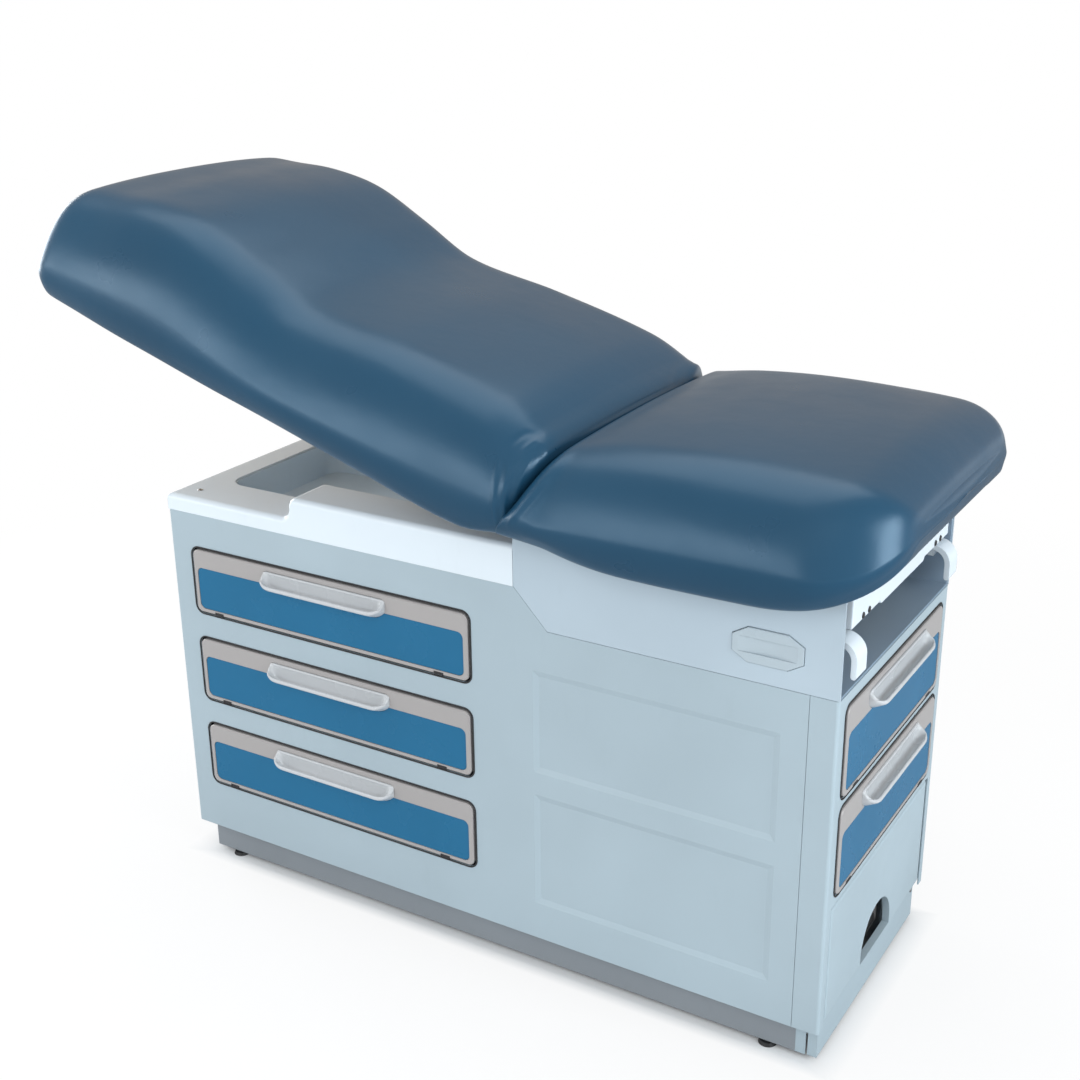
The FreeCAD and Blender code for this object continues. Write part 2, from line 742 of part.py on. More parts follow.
def make_back_frame():
    """Welded back frame: two tubes with hinge ears, two cross tubes and the gas spring's tongue."""
    top = -knuckle
    low = top - back_tube
    side = hinge_y - back_tube / 2.0
    tube = square_tube_x(-back_tube_end, -back_tube_start, side, side + back_tube, low, top, back_tube_wall)
    y0 = hinge_y - ear_wall / 2.0
    ring = [vec(-ear_radius, y0, 0), vec(ear_radius, y0, 0), vec(ear_radius, y0, -ear_radius),
            vec(-back_tube_start, y0, low), vec(-back_tube_start - ear_foot, y0, low),
            vec(-back_tube_start - ear_foot, y0, top)]
    ear = prism(ring, vec(0, ear_wall, 0)).fuse(rod(vec(0, y0, 0), vec(0, y0 + ear_wall, 0), ear_radius))
    ear = ear.cut(rod(vec(0, 0, 0), vec(0, half, 0), pin_radius + run_gap))
    pivot = crank_point()
    near_cross = pivot.x - eye_radius - 3.0 * fork_wall
    pieces = []
    for x in (near_cross, back_tube - back_tube_end):
        bar = block(x - back_tube, x, -side, side, low, top)
        pieces.append(bar.cut(block(x - back_tube + back_tube_wall, x - back_tube_wall, -side, side,
                                    low + back_tube_wall, top - back_tube_wall)))
    tongue = block(near_cross, pivot.x, -tongue_half, tongue_half, pivot.z - eye_radius, pivot.z + eye_radius)
    across = vec(0, tongue_half, 0)
    tip = rod(pivot - across, pivot + across, eye_radius)
    bore = rod(pivot - across, pivot + across, spring_pin_radius + run_gap)
    frame = tube.fuse([mirrored(tube), ear, mirrored(ear), tongue.fuse(tip).cut(bore)] + pieces)
    return raised(frame.removeSplitter())


def make_lever_bracket():
    """Cheeks and pin under the board for the release lever."""
    top = -knuckle
    z = top - lever_drop
    inner = lever_half + side_gap
    outer = inner + lever_cheek
    x0 = -lever_pivot - lever_cheek_half
    x1 = -lever_pivot + lever_cheek_half
    cheek = block(x0, x1, inner, outer, z, top)
    cheek = cheek.fuse(rod(vec(-lever_pivot, inner, z), vec(-lever_pivot, outer, z), lever_cheek_half))
    foot = block(x0, x1, inner, outer + lever_foot, top - lever_cheek, top)
    pin = rod(vec(-lever_pivot, -outer, z), vec(-lever_pivot, outer, z), spring_pin_radius)
    return raised(pin.fuse([cheek, mirrored(cheek), foot, mirrored(foot)]).removeSplitter())


def make_release_lever():
    """Squeeze paddle at the head end that frees the gas spring."""
    z = -knuckle - lever_drop
    tip = -lever_pivot - lever_length
    barrel_radius = spring_pin_radius + lever_barrel
    low = z - barrel_radius
    pivot = vec(-lever_pivot, 0, z)
    across = vec(0, lever_half, 0)
    barrel = rod(pivot - across, pivot + across, barrel_radius)
    paddle = block(tip, -lever_pivot, -lever_half, lever_half, low, low + lever_wall)
    paddle = rounded(paddle, Z_AXIS, lever_corner)
    edge = vec(tip + lever_wall, 0, low + lever_wall / 2.0)
    lip_reach = vec(0, lever_half - lever_lip_end, 0)
    lip = rod(edge - lip_reach, edge + lip_reach, lever_wall)
    bore = rod(pivot - across, pivot + across, spring_pin_radius + run_gap)
    return raised(barrel.fuse([paddle, lip]).cut(bore).removeSplitter())


# Gas spring

def spring_line(lift):
    """Anchor, rod pivot and the turn of the gas spring with the back at an angle above flat."""
    anchor = vec(anchor_x, 0, anchor_z)
    turn = FreeCAD.Rotation(Y_AXIS, lift)
    pivot = turn.multVec(crank_point()) + vec(hinge_x, 0, hinge_z)
    line = pivot - anchor
    return anchor, pivot, math.degrees(math.atan2(line.x, line.z)), line.Length


def along_spring(shape):
    """Carry a piece drawn upright on the anchor to the gas spring's resting line."""
    anchor, pivot, turn, length = spring_line(back_angle)
    placed = shape.copy()
    placed.rotate(ORIGIN, Y_AXIS, turn)
    placed.translate(anchor)
    return placed


def make_spring_bracket():
    """Bracket on the bulkhead for the gas spring's lower eye, with pin ends on its cheeks."""
    wall_x = bulkhead_x + sheet
    reach = eye_radius + bracket_margin
    y0 = eye_half + side_gap
    y1 = y0 + bracket_cheek
    plate = block(wall_x, wall_x + bracket_plate, -bracket_half, bracket_half,
                  anchor_z - bracket_half, anchor_z + bracket_half)
    cheek = block(wall_x, anchor_x, y0, y1, anchor_z - reach, anchor_z + reach)
    cheek = cheek.fuse(rod(vec(anchor_x, y0, anchor_z), vec(anchor_x, y1, anchor_z), reach))
    pin_end = rod(vec(anchor_x, y0, anchor_z), vec(anchor_x, y1 + bracket_pin, anchor_z), spring_pin_radius)
    cheek = cheek.fuse(pin_end)
    return plate.fuse([cheek, mirrored(cheek)]).removeSplitter()


def make_gas_cylinder():
    """Pressure tube with its lower eye and the guide that the rod runs through."""
    base = eye_radius + eye_neck
    bore = cylinder_radius - cylinder_wall
    guide = spring_rod_radius + run_gap
    guide_low = cylinder_length - cylinder_guide
    ring = [(0, base), (cylinder_radius, base), (cylinder_radius, cylinder_length), (guide, cylinder_length),
            (guide, guide_low), (bore, guide_low), (bore, base + cylinder_base), (0, base + cylinder_base)]
    points = [vec(r, 0, z) for r, z in ring]
    tube = Part.Face(Part.makePolygon(points + points[:1])).revolve(ORIGIN, Z_AXIS, 360)
    eye = rod(vec(0, -eye_half, 0), vec(0, eye_half, 0), eye_radius)
    neck = block(-eye_half, eye_half, -eye_half, eye_half, 0, base + 1.0)
    pin_bore = rod(vec(0, -eye_half, 0), vec(0, eye_half, 0), spring_pin_radius + run_gap)
    return along_spring(tube.fuse([neck, eye]).cut(pin_bore).removeSplitter())


def make_gas_rod():
    """Piston rod with a fork that straddles the back frame's tongue."""
    length = spring_line(back_angle)[3]
    bridge = length - eye_radius - eye_neck
    inner = tongue_half + fork_gap
    outer = inner + fork_wall
    head_end = outer + rivet_head
    bar = rod(vec(0, 0, length - spring_rod_length), vec(0, 0, bridge - fork_wall), spring_rod_radius)
    yoke = block(-eye_radius, eye_radius, -outer, outer, bridge - 2.0 * fork_wall, bridge - fork_wall)
    pieces = [yoke]
    for side in (-1, 1):
        y0, y1 = sorted((side * inner, side * outer))
        pieces.append(block(-eye_radius, eye_radius, y0, y1, bridge - 2.0 * fork_wall, length))
        pieces.append(rod(vec(0, y0, length), vec(0, y1, length), eye_radius))
        pieces.append(rod(vec(0, side * outer, length), vec(0, side * head_end, length),
                          spring_pin_radius + rivet_head))
    pieces.append(rod(vec(0, -outer, length), vec(0, outer, length), spring_pin_radius))
    return along_spring(bar.fuse(pieces).removeSplitter())


# Drawers, drawn with the opening's lower edge at z = 0 and the pull towards +Y

def drawer_bezel(width, height):
    """Frame of a drawer front with the seat for its coloured panel."""
    w = width / 2.0 - drawer_gap
    body = block(-w, w, bezel_proud - bezel_depth, bezel_proud, drawer_gap, height - drawer_gap)
    body = rounded(body, Y_AXIS, open_corner - drawer_gap)
    face = [e for e in body.Edges if e.BoundBox.YMin > bezel_proud - 0.01]
    body = body.makeChamfer(bezel_chamfer, face)
    return body.cut(inset_block(width, height, inset_gap, bezel_proud - inset_depth, bezel_proud + sheet))


def inset_block(width, height, grow, y0, y1):
    """Plan of the coloured panel, grown by its fitting gap."""
    w = width / 2.0 - drawer_gap - inset_side + grow
    low = drawer_gap + inset_foot - grow
    high = drawer_gap + inset_foot + inset_share * height + grow
    return rounded(block(-w, w, y0, y1, low, high), Y_AXIS, open_corner - inset_side / 2.0)


def drawer_inset(width, height):
    """Coloured panel let into the drawer front, cleared where the handle is seated."""
    panel = inset_block(width, height, 0, bezel_proud - inset_depth, bezel_proud - 1.0)
    return panel.cut(handle_plan(height, inset_gap, -bezel_depth, bezel_proud + sheet))


def handle_plan(height, grow, y0, y1):
    """Outline of a drawer handle: straight top and keel, slanted lower ends, rounded corners."""
    top = height - drawer_gap - handle_drop + grow
    keel = top - handle_height - 2.0 * grow
    a = handle_length / 2.0 + grow
    shoulder = top - grow - handle_end
    taper = a - handle_taper
    ring = [(-a, top), (a, top), (a, shoulder), (taper, keel), (-taper, keel), (-a, shoulder)]
    body = prism([vec(x, y0, z) for x, z in ring], vec(0, y1 - y0, 0))
    bends = ((ring[:2], handle_corner), ([ring[2], ring[5]], handle_bend), (ring[3:5], handle_keel_bend))
    for corners, radius in bends:
        edges = [e for e in body.Edges if runs_along(e, Y_AXIS)
                 and any(math.hypot(e.CenterOfMass.x - x, e.CenterOfMass.z - z) < 0.1 for x, z in corners)]
        body = body.makeFillet(radius + grow, edges)
    return body


def drawer_handle(height):
    """Moulded scoop handle: rim at the top, lip at the lower front and a hollow for the fingers between them."""
    back = bezel_proud - inset_depth
    front = bezel_proud + handle_depth
    top = height - drawer_gap - handle_drop
    low = top - handle_height
    reach = handle_length / 2.0
    ring = [(back, top), (bezel_proud + handle_brow, top), (front - handle_round, top - handle_slope),
            (front, top - handle_slope - handle_round), (front - handle_round, low + handle_under),
            (bezel_proud, low), (back, low)]
    body = prism([vec(-reach, y, z) for y, z in ring], vec(2.0 * reach, 0, 0))
    body = body.common(handle_plan(height, 0, back, front))
    seat = bezel_proud + handle_seat
    lip = front - handle_wall
    ring = [(seat, top), (seat, low + handle_floor), (lip, low + handle_under + handle_wall), (lip, top)]
    hollow = prism([vec(-reach, y, z) for y, z in ring], vec(2.0 * reach, 0, 0))
    return body.cut(hollow.common(handle_plan(height, -handle_wall, seat, lip)))


def drawer_bezel_seated(width, height):
    """Drawer front with the handle's seat cut into it."""
    seat = handle_plan(height, inset_gap, bezel_proud - inset_depth, bezel_proud + sheet)
    return drawer_bezel(width, height).cut(seat)


def drawer_box(width, height, depth):
    """Folded steel tray fixed behind the drawer front."""
    w = width / 2.0 - box_inset
    y1 = bezel_proud - bezel_depth
    body = block(-w, w, y1 - depth, y1, box_rise, height - box_rise)
    room = block(-w + box_wall, w - box_wall, y1 - depth + box_wall, y1 - box_wall,
                 box_rise + box_wall, height)
    return body.cut(room)


def runner_pair(width, box_half, rise, panel_gap, reach):
    """Two angle runners: tabs against the panel beside the opening, shelves that carry the box."""
    shelf_top = rise - glide_gap
    inner = box_half - runner_reach
    outer = width / 2.0 + runner_tab
    start = bezel_proud - bezel_depth - panel_gap
    shelf = block(inner, outer, -reach, start, shelf_top - runner_wall, shelf_top)
    guide = block(box_half + glide_gap, box_half + glide_gap + runner_wall, -reach, start,
                  shelf_top, shelf_top + runner_guide)
    tab = block(width / 2.0 + 1.0, outer, start, -sheet, shelf_top - runner_wall, shelf_top)
    runner = shelf.fuse([guide, tab]).removeSplitter()
    return [runner, runner.mirror(ORIGIN, X_AXIS)]


def on_near_side(shape, low):
    """Turn a drawer piece to the near side and lift it to its opening."""
    placed = shape.copy()
    placed.rotate(ORIGIN, Z_AXIS, 180)
    placed.translate(vec(side_open_start + side_open_width / 2.0, -half, low))
    return placed


def on_foot_end(shape, low):
    """Turn a drawer piece to the foot end and lift it to its opening."""
    placed = shape.copy()
    placed.rotate(ORIGIN, Z_AXIS, -90)
    placed.translate(vec(cab_length, 0, low))
    return placed


def add_drawer(parts, name, width, height, depth, place, low):
    """Put the four pieces of one drawer into the assembly."""
    parts[name + "_front"] = place(drawer_bezel_seated(width, height), low)
    parts[name + "_inset"] = place(drawer_inset(width, height), low)
    parts[name + "_handle"] = place(drawer_handle(height), low)
    parts[name + "_box"] = place(drawer_box(width, height, depth), low)


# Leg rest, stirrups and step

def leg_board_low():
    """Underside of the leg rest on its guide lips."""
    return seat_bottom - rail_height - leg_guide_drop + sheet + glide_gap


def make_leg_board():
    """Sliding board of the leg rest."""
    low = leg_board_low()
    return block(leg_start + leg_stop, cab_length - beam_wall, -leg_board_half, leg_board_half,
                 low, low + leg_board)


def make_leg_pad():
    """Flat pad on the leg rest, with rounded upper edges."""
    low = leg_board_low() + leg_board
    w = leg_board_half - leg_pad_inset
    pad = block(leg_start + leg_pad_inset, cab_length - beam_wall - leg_pad_gap, -w, w, low, low + leg_pad)
    return pad.makeFillet(leg_pad_round, [e for e in pad.Edges if e.BoundBox.ZMin > low + leg_pad - 0.01])


def make_leg_handle():
    """White front beam with a deeper grip in the middle."""
    x0 = cab_length - beam_wall
    ring = [(-beam_half, beam_top), (beam_half, beam_top), (beam_half, beam_bottom),
            (beam_lip_half + beam_lip, beam_bottom), (beam_lip_half, beam_bottom - beam_lip),
            (-beam_lip_half, beam_bottom - beam_lip), (-beam_lip_half - beam_lip, beam_bottom),
            (-beam_half, beam_bottom)]
    beam = prism([vec(x0, y, z) for y, z in ring], vec(beam_wall, 0, 0))
    face = [e for e in beam.Edges if e.BoundBox.XMin > cab_length - 0.01]
    beam = beam.makeFillet(beam_round, face)
    reach = beam_lip_half - grip_end
    grip = block(x0, cab_length - grip_wall, -reach, reach, beam_bottom - 2.0 * beam_lip, leg_board_low())
    return beam.cut(grip)


def make_sleeve():
    """Square sleeve with two tabs against the slot liner."""
    h = sleeve_size / 2.0
    tube = square_tube_x(sleeve_start, sleeve_end, -stirrup_y - h, -stirrup_y + h,
                         stirrup_z - h, stirrup_z + h, sleeve_wall)
    wall = -half + cover_wall + sheet
    tabs = [block(x, x + tab_length, wall, -stirrup_y - h, stirrup_z - tab_half, stirrup_z + tab_half)
            for x in (sleeve_start + tab_rear, sleeve_end - tab_front)]
    return tube.fuse(tabs).removeSplitter()


def make_arm():
    """Square stirrup bar that pulls out of its sleeve."""
    h = sleeve_size / 2.0 - sleeve_wall - arm_gap
    return block(arm_start, sleeve_end + arm_end, -stirrup_y - h, -stirrup_y + h,
                 stirrup_z - h, stirrup_z + h)


def make_cup():
    """Heel cup folded down in front of its bar: a curved plate with a rounded tip."""
    x0 = sleeve_end + arm_end
    outer = cup_radius + cup_wall / 2.0
    inner = cup_radius - cup_wall / 2.0
    top = stirrup_z + sleeve_size / 2.0 - sleeve_wall
    bend = vec(x0 + cup_reach, 0, top - outer)
    diagonal = math.sqrt(0.5)
    tail = bend.z - cup_tail
    points = [vec(x0, 0, top), vec(bend.x, 0, top), bend + vec(outer * diagonal, 0, outer * diagonal),
              vec(bend.x + outer, 0, bend.z), vec(bend.x + outer, 0, tail),
              vec(bend.x + cup_radius, 0, tail - cup_wall / 2.0), vec(bend.x + inner, 0, tail),
              vec(bend.x + inner, 0, bend.z), bend + vec(inner * diagonal, 0, inner * diagonal),
              vec(bend.x, 0, top - cup_wall), vec(x0, 0, top - cup_wall)]
    edges = [Part.LineSegment(points[0], points[1]).toShape(),
             Part.Arc(points[1], points[2], points[3]).toShape(),
             Part.LineSegment(points[3], points[4]).toShape(),
             Part.Arc(points[4], points[5], points[6]).toShape(),
             Part.LineSegment(points[6], points[7]).toShape(),
             Part.Arc(points[7], points[8], points[9]).toShape(),
             Part.LineSegment(points[9], points[10]).toShape(),
             Part.LineSegment(points[10], points[0]).toShape()]
    face = Part.Face(Part.Wire(edges))
    face.translate(vec(0, -stirrup_y - cup_half, 0))
    plate = face.extrude(vec(0, 2.0 * cup_half, 0))
    h = sleeve_size / 2.0 - sleeve_wall - arm_gap
    root = block(x0, x0 + cup_reach, -stirrup_y - h, -stirrup_y + h, stirrup_z - h, top - cup_wall / 2.0)
    return plate.fuse(root).removeSplitter()


def make_step_front():
    """Moulded step front: raised panel with a hand arch over a lower band, ribs against the step behind."""
    x1 = cab_length
    x0 = x1 - step_front_wall
    band = block(x0, x1 - step_face, -step_half, step_half, floor_gap, step_band_top + step_panel_round)
    panel = block(x0, x1, -step_half, step_half, step_band_top, step_top)
    face = [e for e in panel.Edges if e.BoundBox.XMin > x1 - 0.01]
    panel = panel.makeFillet(step_face - 1.0, face)
    front = band.fuse(panel)
    skin = x1 - step_face - step_shell
    room = block(x0, skin, -step_half + step_shell, step_half - step_shell, floor_gap, step_top - step_shell)
    front = front.cut(room)
    spring = arch_bottom + arch_side
    ring = [vec(x0, -arch_half, spring), vec(x0, -arch_half, arch_bottom),
            vec(x0, arch_half, arch_bottom), vec(x0, arch_half, spring)]
    edges = [Part.LineSegment(a, b).toShape() for a, b in zip(ring, ring[1:])]
    edges.append(Part.Arc(ring[3], vec(x0, 0, spring + arch_half), ring[0]).toShape())
    arch = Part.Face(Part.Wire(edges)).extrude(vec(step_front_wall, 0, 0))
    ribs = []
    for y in step_rib_places:
        rib = block(x0, skin, y - step_rib / 2.0, y + step_rib / 2.0, step_box_bottom, step_box_top)
        ribs += [rib, mirrored(rib)]
    return front.cut(arch).fuse(ribs).removeSplitter()


def make_step_box():
    """Folded step with side rails that ride on the runners."""
    x1 = cab_length - step_front_wall
    x0 = x1 - step_box_length
    body = block(x0, x1, -step_box_half, step_box_half, step_box_bottom, step_box_top)
    room = block(x0 + step_box_wall, x1 - step_box_wall, -step_box_half + step_box_wall,
                 step_box_half - step_box_wall, step_box_bottom - 1.0, step_box_top - step_box_wall)
    hatch = block(x1 - 2.0 * step_box_wall, x1 + 1.0, -arch_half - step_shell, arch_half + step_shell,
                  arch_bottom - step_shell, arch_bottom + arch_side + arch_half + step_shell)
    rail = block(x0, x1 - hem, step_box_half - step_box_wall, step_box_half + step_rail,
                 step_rail_z, step_rail_z + step_box_wall)
    return body.cut(room).cut(hatch).fuse([rail, mirrored(rail)]).removeSplitter()


def make_step_mat():
    """Ribbed rubber tread."""
    x1 = cab_length - step_front_wall - mat_inset
    x0 = cab_length - step_front_wall - step_box_length + mat_inset
    w = step_box_half - mat_inset
    mat = block(x0, x1, -w, w, step_box_top, step_box_top + mat_height)
    grooves = []
    x = x0 + mat_rib_pitch / 2.0
    while x < x1 - mat_rib_pitch / 2.0:
        grooves.append(block(x, x + mat_rib_pitch / 4.0, -w, w, step_box_top + mat_height / 2.0,
                             step_box_top + mat_height))
        x += mat_rib_pitch
    return mat.cut(grooves)


def side_runner_set():
    """Runners of the three side drawers, from the near skin to the far skin."""
    box_half = side_open_width / 2.0 - box_inset
    pair = runner_pair(side_open_width, box_half, box_rise, 1.0, cab_width - sheet)
    return Part.Compound([on_near_side(r, low) for low in side_open_bottoms for r in pair])


def foot_runner_set():
    """Runners of the foot-end drawers and of the step, from the front frame to the bulkhead."""
    reach = cab_length - bulkhead_x - hem
    box_half = front_open_width / 2.0 - box_inset
    pair = runner_pair(front_open_width, box_half, box_rise, 1.0, reach)
    step_pair = runner_pair(2.0 * (step_half + step_side_gap), step_box_half + step_rail, step_rail_z,
                            step_front_wall, reach)
    placed = [on_foot_end(r, low) for low in front_open_bottoms for r in pair]
    return Part.Compound(placed + [on_foot_end(r, 0) for r in step_pair])


def build():
    """All pieces of the table by name, before the origin is moved."""
    parts = {
        "plinth_base": make_plinth(),
        "levelling_feet": make_feet(),
        "side_panel_near": make_near_side(),
        "side_panel_far": mirrored(side_sheet()),
        "head_panel": make_head_panel(),
        "cabinet_floor": make_floor(),
        "bulkhead": make_bulkhead(),
        "front_frame": make_front_frame(),
        "head_cover": make_head_cover(),
        "well_tray": make_well(),
        "side_cover_near": make_side_cover(),
        "side_cover_far": mirrored(make_side_cover()),
        "cover_caps": both_sides(make_cap()),
        "slot_liner": make_slot_liner(),
        "seat_frame": make_seat_frame(),
        "hinge_pins": make_hinge_pins(),
        "seat_board": make_seat_board(),
        "seat_cushion": make_seat_cushion(),
        "back_frame": make_back_frame(),
        "back_board": make_back_board(),
        "back_cushion": make_back_cushion(),
        "lever_bracket": make_lever_bracket(),
        "release_lever": make_release_lever(),
        "spring_bracket": make_spring_bracket(),
        "gas_cylinder": make_gas_cylinder(),
        "gas_rod": make_gas_rod(),
        "side_runners": side_runner_set(),
        "foot_runners": foot_runner_set(),
        "leg_rest_board": make_leg_board(),
        "leg_rest_pad": make_leg_pad(),
        "leg_rest_handle": make_leg_handle(),
        "stirrup_sleeves": both_sides(make_sleeve()),
        "stirrup_arm_near": make_arm(),
        "stirrup_arm_far": mirrored(make_arm()),
        "heel_cup_near": make_cup(),
        "heel_cup_far": mirrored(make_cup()),
        "step_front": make_step_front(),
        "step_box": make_step_box(),
        "step_mat": make_step_mat(),
    }
    for level, low in zip(("low", "middle", "top"), side_open_bottoms):
        add_drawer(parts, "side_drawer_" + level, side_open_width, side_open_height, side_box_depth,
                   on_near_side, low)
    for level, low in zip(("low", "top"), front_open_bottoms):
        add_drawer(parts, "foot_drawer_" + level, front_open_width, front_open_height, front_box_depth,
                   on_foot_end, low)
    return parts


parts = build()
whole = FreeCAD.BoundBox()
for shape in parts.values():
    whole.add(shape.optimalBoundingBox())
shift = vec(-whole.Center.x, -whole.Center.y, -whole.ZMin)
os.makedirs("parts", exist_ok=True)
for name, shape in parts.items():
    moved = shape.copy()
    moved.translate(shift)
    moved.exportStep("parts/" + name + ".step")
print("pieces", len(parts), "box", round(whole.XLength, 1), round(whole.YLength, 1), round(whole.ZLength, 1))
print("shift", shift)
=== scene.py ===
"""Looks of the examination table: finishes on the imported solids, upholstery, small hardware and a studio.

Sizes are millimetres on the table's own drawing: x = 0 at the cabinet's head face, +X towards the foot
end, y = 0 on the centre line, z = 0 on the floor. Shaders and the studio are in metres, in the shared frame.
"""
import logging
import math
from dataclasses import dataclass
from enum import Enum
from typing import Sequence

import bpy
import numpy as np
from mathutils import Matrix, Vector

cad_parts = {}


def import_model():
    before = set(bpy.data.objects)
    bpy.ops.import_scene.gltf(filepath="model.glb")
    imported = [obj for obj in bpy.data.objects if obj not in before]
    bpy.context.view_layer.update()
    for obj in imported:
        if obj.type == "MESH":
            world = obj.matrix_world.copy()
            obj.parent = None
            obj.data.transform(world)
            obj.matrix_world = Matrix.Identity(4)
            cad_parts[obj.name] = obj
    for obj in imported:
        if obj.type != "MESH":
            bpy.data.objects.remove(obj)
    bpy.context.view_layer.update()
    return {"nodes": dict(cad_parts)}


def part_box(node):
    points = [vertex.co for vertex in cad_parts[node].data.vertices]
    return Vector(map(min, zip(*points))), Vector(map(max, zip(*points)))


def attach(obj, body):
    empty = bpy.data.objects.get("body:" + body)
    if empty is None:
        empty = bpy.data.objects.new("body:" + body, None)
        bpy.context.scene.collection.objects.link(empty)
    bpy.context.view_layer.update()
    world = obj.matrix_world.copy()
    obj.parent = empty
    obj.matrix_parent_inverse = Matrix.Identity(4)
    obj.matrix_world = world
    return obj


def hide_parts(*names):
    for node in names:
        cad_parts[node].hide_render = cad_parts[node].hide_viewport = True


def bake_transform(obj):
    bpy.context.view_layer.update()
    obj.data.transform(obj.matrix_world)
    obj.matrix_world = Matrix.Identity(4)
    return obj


LOG = logging.getLogger("examination_table")
Colour = tuple[float, float, float]
Point = tuple[float, float, float]
Point2 = tuple[float, float]
Curve = tuple[float, ...]
Fold = tuple[tuple[Point2, ...], float, float]
Run = tuple[float, float, int]
Socket = bpy.types.NodeSocket
Material = bpy.types.Material
Mesh = bpy.types.Mesh
Piece = bpy.types.Object

MM = 1000.0
WHITE: Colour = (1.0, 1.0, 1.0)
LENGTHWISE: Point = (1.0, 0.0, 0.0)
ACROSS: Point = (0.0, 1.0, 0.0)
NOISE_BAND: Point2 = (0.3, 0.7)


class Facing(Enum):
    """Which way a small fitting looks."""

    HEAD = (-1.0, 0.0, 0.0)
    FOOT = (1.0, 0.0, 0.0)
    NEAR = (0.0, -1.0, 0.0)
    UP = (0.0, 0.0, 1.0)
    DOWN = (0.0, 0.0, -1.0)


class Kind(Enum):
    """What a small fitting is."""

    CROSS = "screw with a cross recess"
    HEXAGON = "screw with a hexagon socket"
    BAR = "plain bar"
    # A dark cord standing for the shade in the gap round a drawer: painted shade.
    SHADE_CORD = "rubber cord in a rounded rectangle"


class Graph:
    """Nodes and links of one node tree."""

    def __init__(self, tree: bpy.types.NodeTree) -> None:
        """Keep the nodes and links of a material's, world's or geometry tree."""
        self.nodes, self.links = tree.nodes, tree.links

    def put(self, node: bpy.types.Node, label: str | int, value: object) -> None:
        """Set or link one input of a node.

        Args:
            node: The node.
            label: Name or number of the input.
            value: A source to link, or a constant.
        """
        if isinstance(label, int):
            socket = node.inputs[label]
        else:
            socket = next(s for s in node.inputs if s.name == label and s.enabled)
        if isinstance(value, Socket):
            self.links.new(value, socket)
        else:
            socket.default_value = (*value, 1.0) if socket.type == "RGBA" else value

    def add(self, kind: str, inputs: dict[str | int, object], out: str | int | None = None,
            **settings: object) -> Socket:
        """Add a node.

        Args:
            kind: Type of the node.
            inputs: Constants or sources by name or number of the input.
            out: Name or number of the output wanted, or None for the first one in use.
            settings: Properties of the node, set before its inputs.

        Returns:
            The output.
        """
        made = self.nodes.new(kind)
        for name, value in settings.items():
            setattr(made, name, value)
        for label, value in inputs.items():
            self.put(made, label, value)
        return next(s for s in made.outputs if s.enabled) if out is None else made.outputs[out]

    def math(self, operation: str, *values: float | Socket) -> Socket:
        """Result of a calculation on numbers."""
        return self.add("ShaderNodeMath", dict(enumerate(values)), 0, operation=operation)

    def vector(self, operation: str, *values: Point | Socket, out: str = "Vector") -> Socket:
        """Result of a calculation on vectors."""
        return self.add("ShaderNodeVectorMath", dict(enumerate(values)), out, operation=operation)

    def spread(self, source: Socket, band: Point2, start: float = 0.0, end: float = 1.0) -> Socket:
        """Map a pattern from a band of its values to start..end."""
        return self.add("ShaderNodeMapRange", {"Value": source, "From Min": band[0], "From Max": band[1],
                                               "To Min": start, "To Max": end}, "Result")

    def mix(self, factor: Socket, first: Colour | Socket, second: Colour) -> Socket:
        """Mix of two colours by a pattern."""
        return self.add("ShaderNodeMix", {0: factor, 6: first, 7: second}, 2, data_type="RGBA")


class Shader(Graph):
    """Node tree of one finish, on Object coordinates."""

    def __init__(self, name: str, colour: Colour, roughness: float) -> None:
        """Start a material.

        Args:
            name: Name of the material.
            colour: Plain colour, linear.
            roughness: Plain roughness.
        """
        self.material = bpy.data.materials.new(name)
        self.material.use_nodes = True
        self.material.diffuse_color = (*colour, 1.0)
        super().__init__(self.material.node_tree)
        self.surface = self.nodes["Principled BSDF"]
        self.roughness = roughness
        self.give("Base Color", colour)
        self.give("Roughness", roughness)
        self.coordinates = self.add("ShaderNodeTexCoord", {}, "Object")

    def give(self, label: str, value: object) -> None:
        """Set or link one input of the surface."""
        self.put(self.surface, label, value)

    def rub(self, pattern: Socket, shares: Point2, band: Point2 = NOISE_BAND) -> None:
        """Vary the roughness by a pattern, between two shares of its plain value."""
        low, high = (self.roughness * share for share in shares)
        self.give("Roughness", self.spread(pattern, band, low, high))

    def noise(self, scale: float, detail: float = 3.0, along: Point | None = None,
              twist: float = 0.0) -> Socket:
        """Noise pattern.

        Args:
            scale: Cells per metre.
            detail: Octaves.
            along: Stretch by axis, or None.
            twist: Distortion of the pattern.

        Returns:
            The pattern's value.
        """
        place = self.coordinates
        if along:
            place = self.add("ShaderNodeMapping", {"Vector": place, "Scale": along})
        return self.add("ShaderNodeTexNoise", {"Vector": place, "Scale": scale, "Detail": detail,
                                               "Distortion": twist}, "Fac")

    def cells(self, scale: float) -> Socket:
        """Distance to the edges of small cells, such as pores of a grain."""
        return self.add("ShaderNodeTexVoronoi", {"Vector": self.coordinates, "Scale": scale}, "Distance",
                        feature="DISTANCE_TO_EDGE")

    def bump(self, height: Socket, strength: float, distance: float, under: Socket | None = None) -> Socket:
        """Bump from a pattern, over another one if it is given."""
        inputs = {"Strength": strength, "Distance": distance, "Height": height}
        return self.add("ShaderNodeBump", inputs if under is None else inputs | {"Normal": under}, "Normal")

    def eased_edges(self, radius: float) -> Socket:
        """Normal with softened edges."""
        return self.add("ShaderNodeBevel", {"Radius": radius}, "Normal", samples=4)


def shaded(colour: Colour, share: float) -> Colour:
    """A colour made darker or lighter by a share."""
    return tuple(min(1.0, c * share) for c in colour)


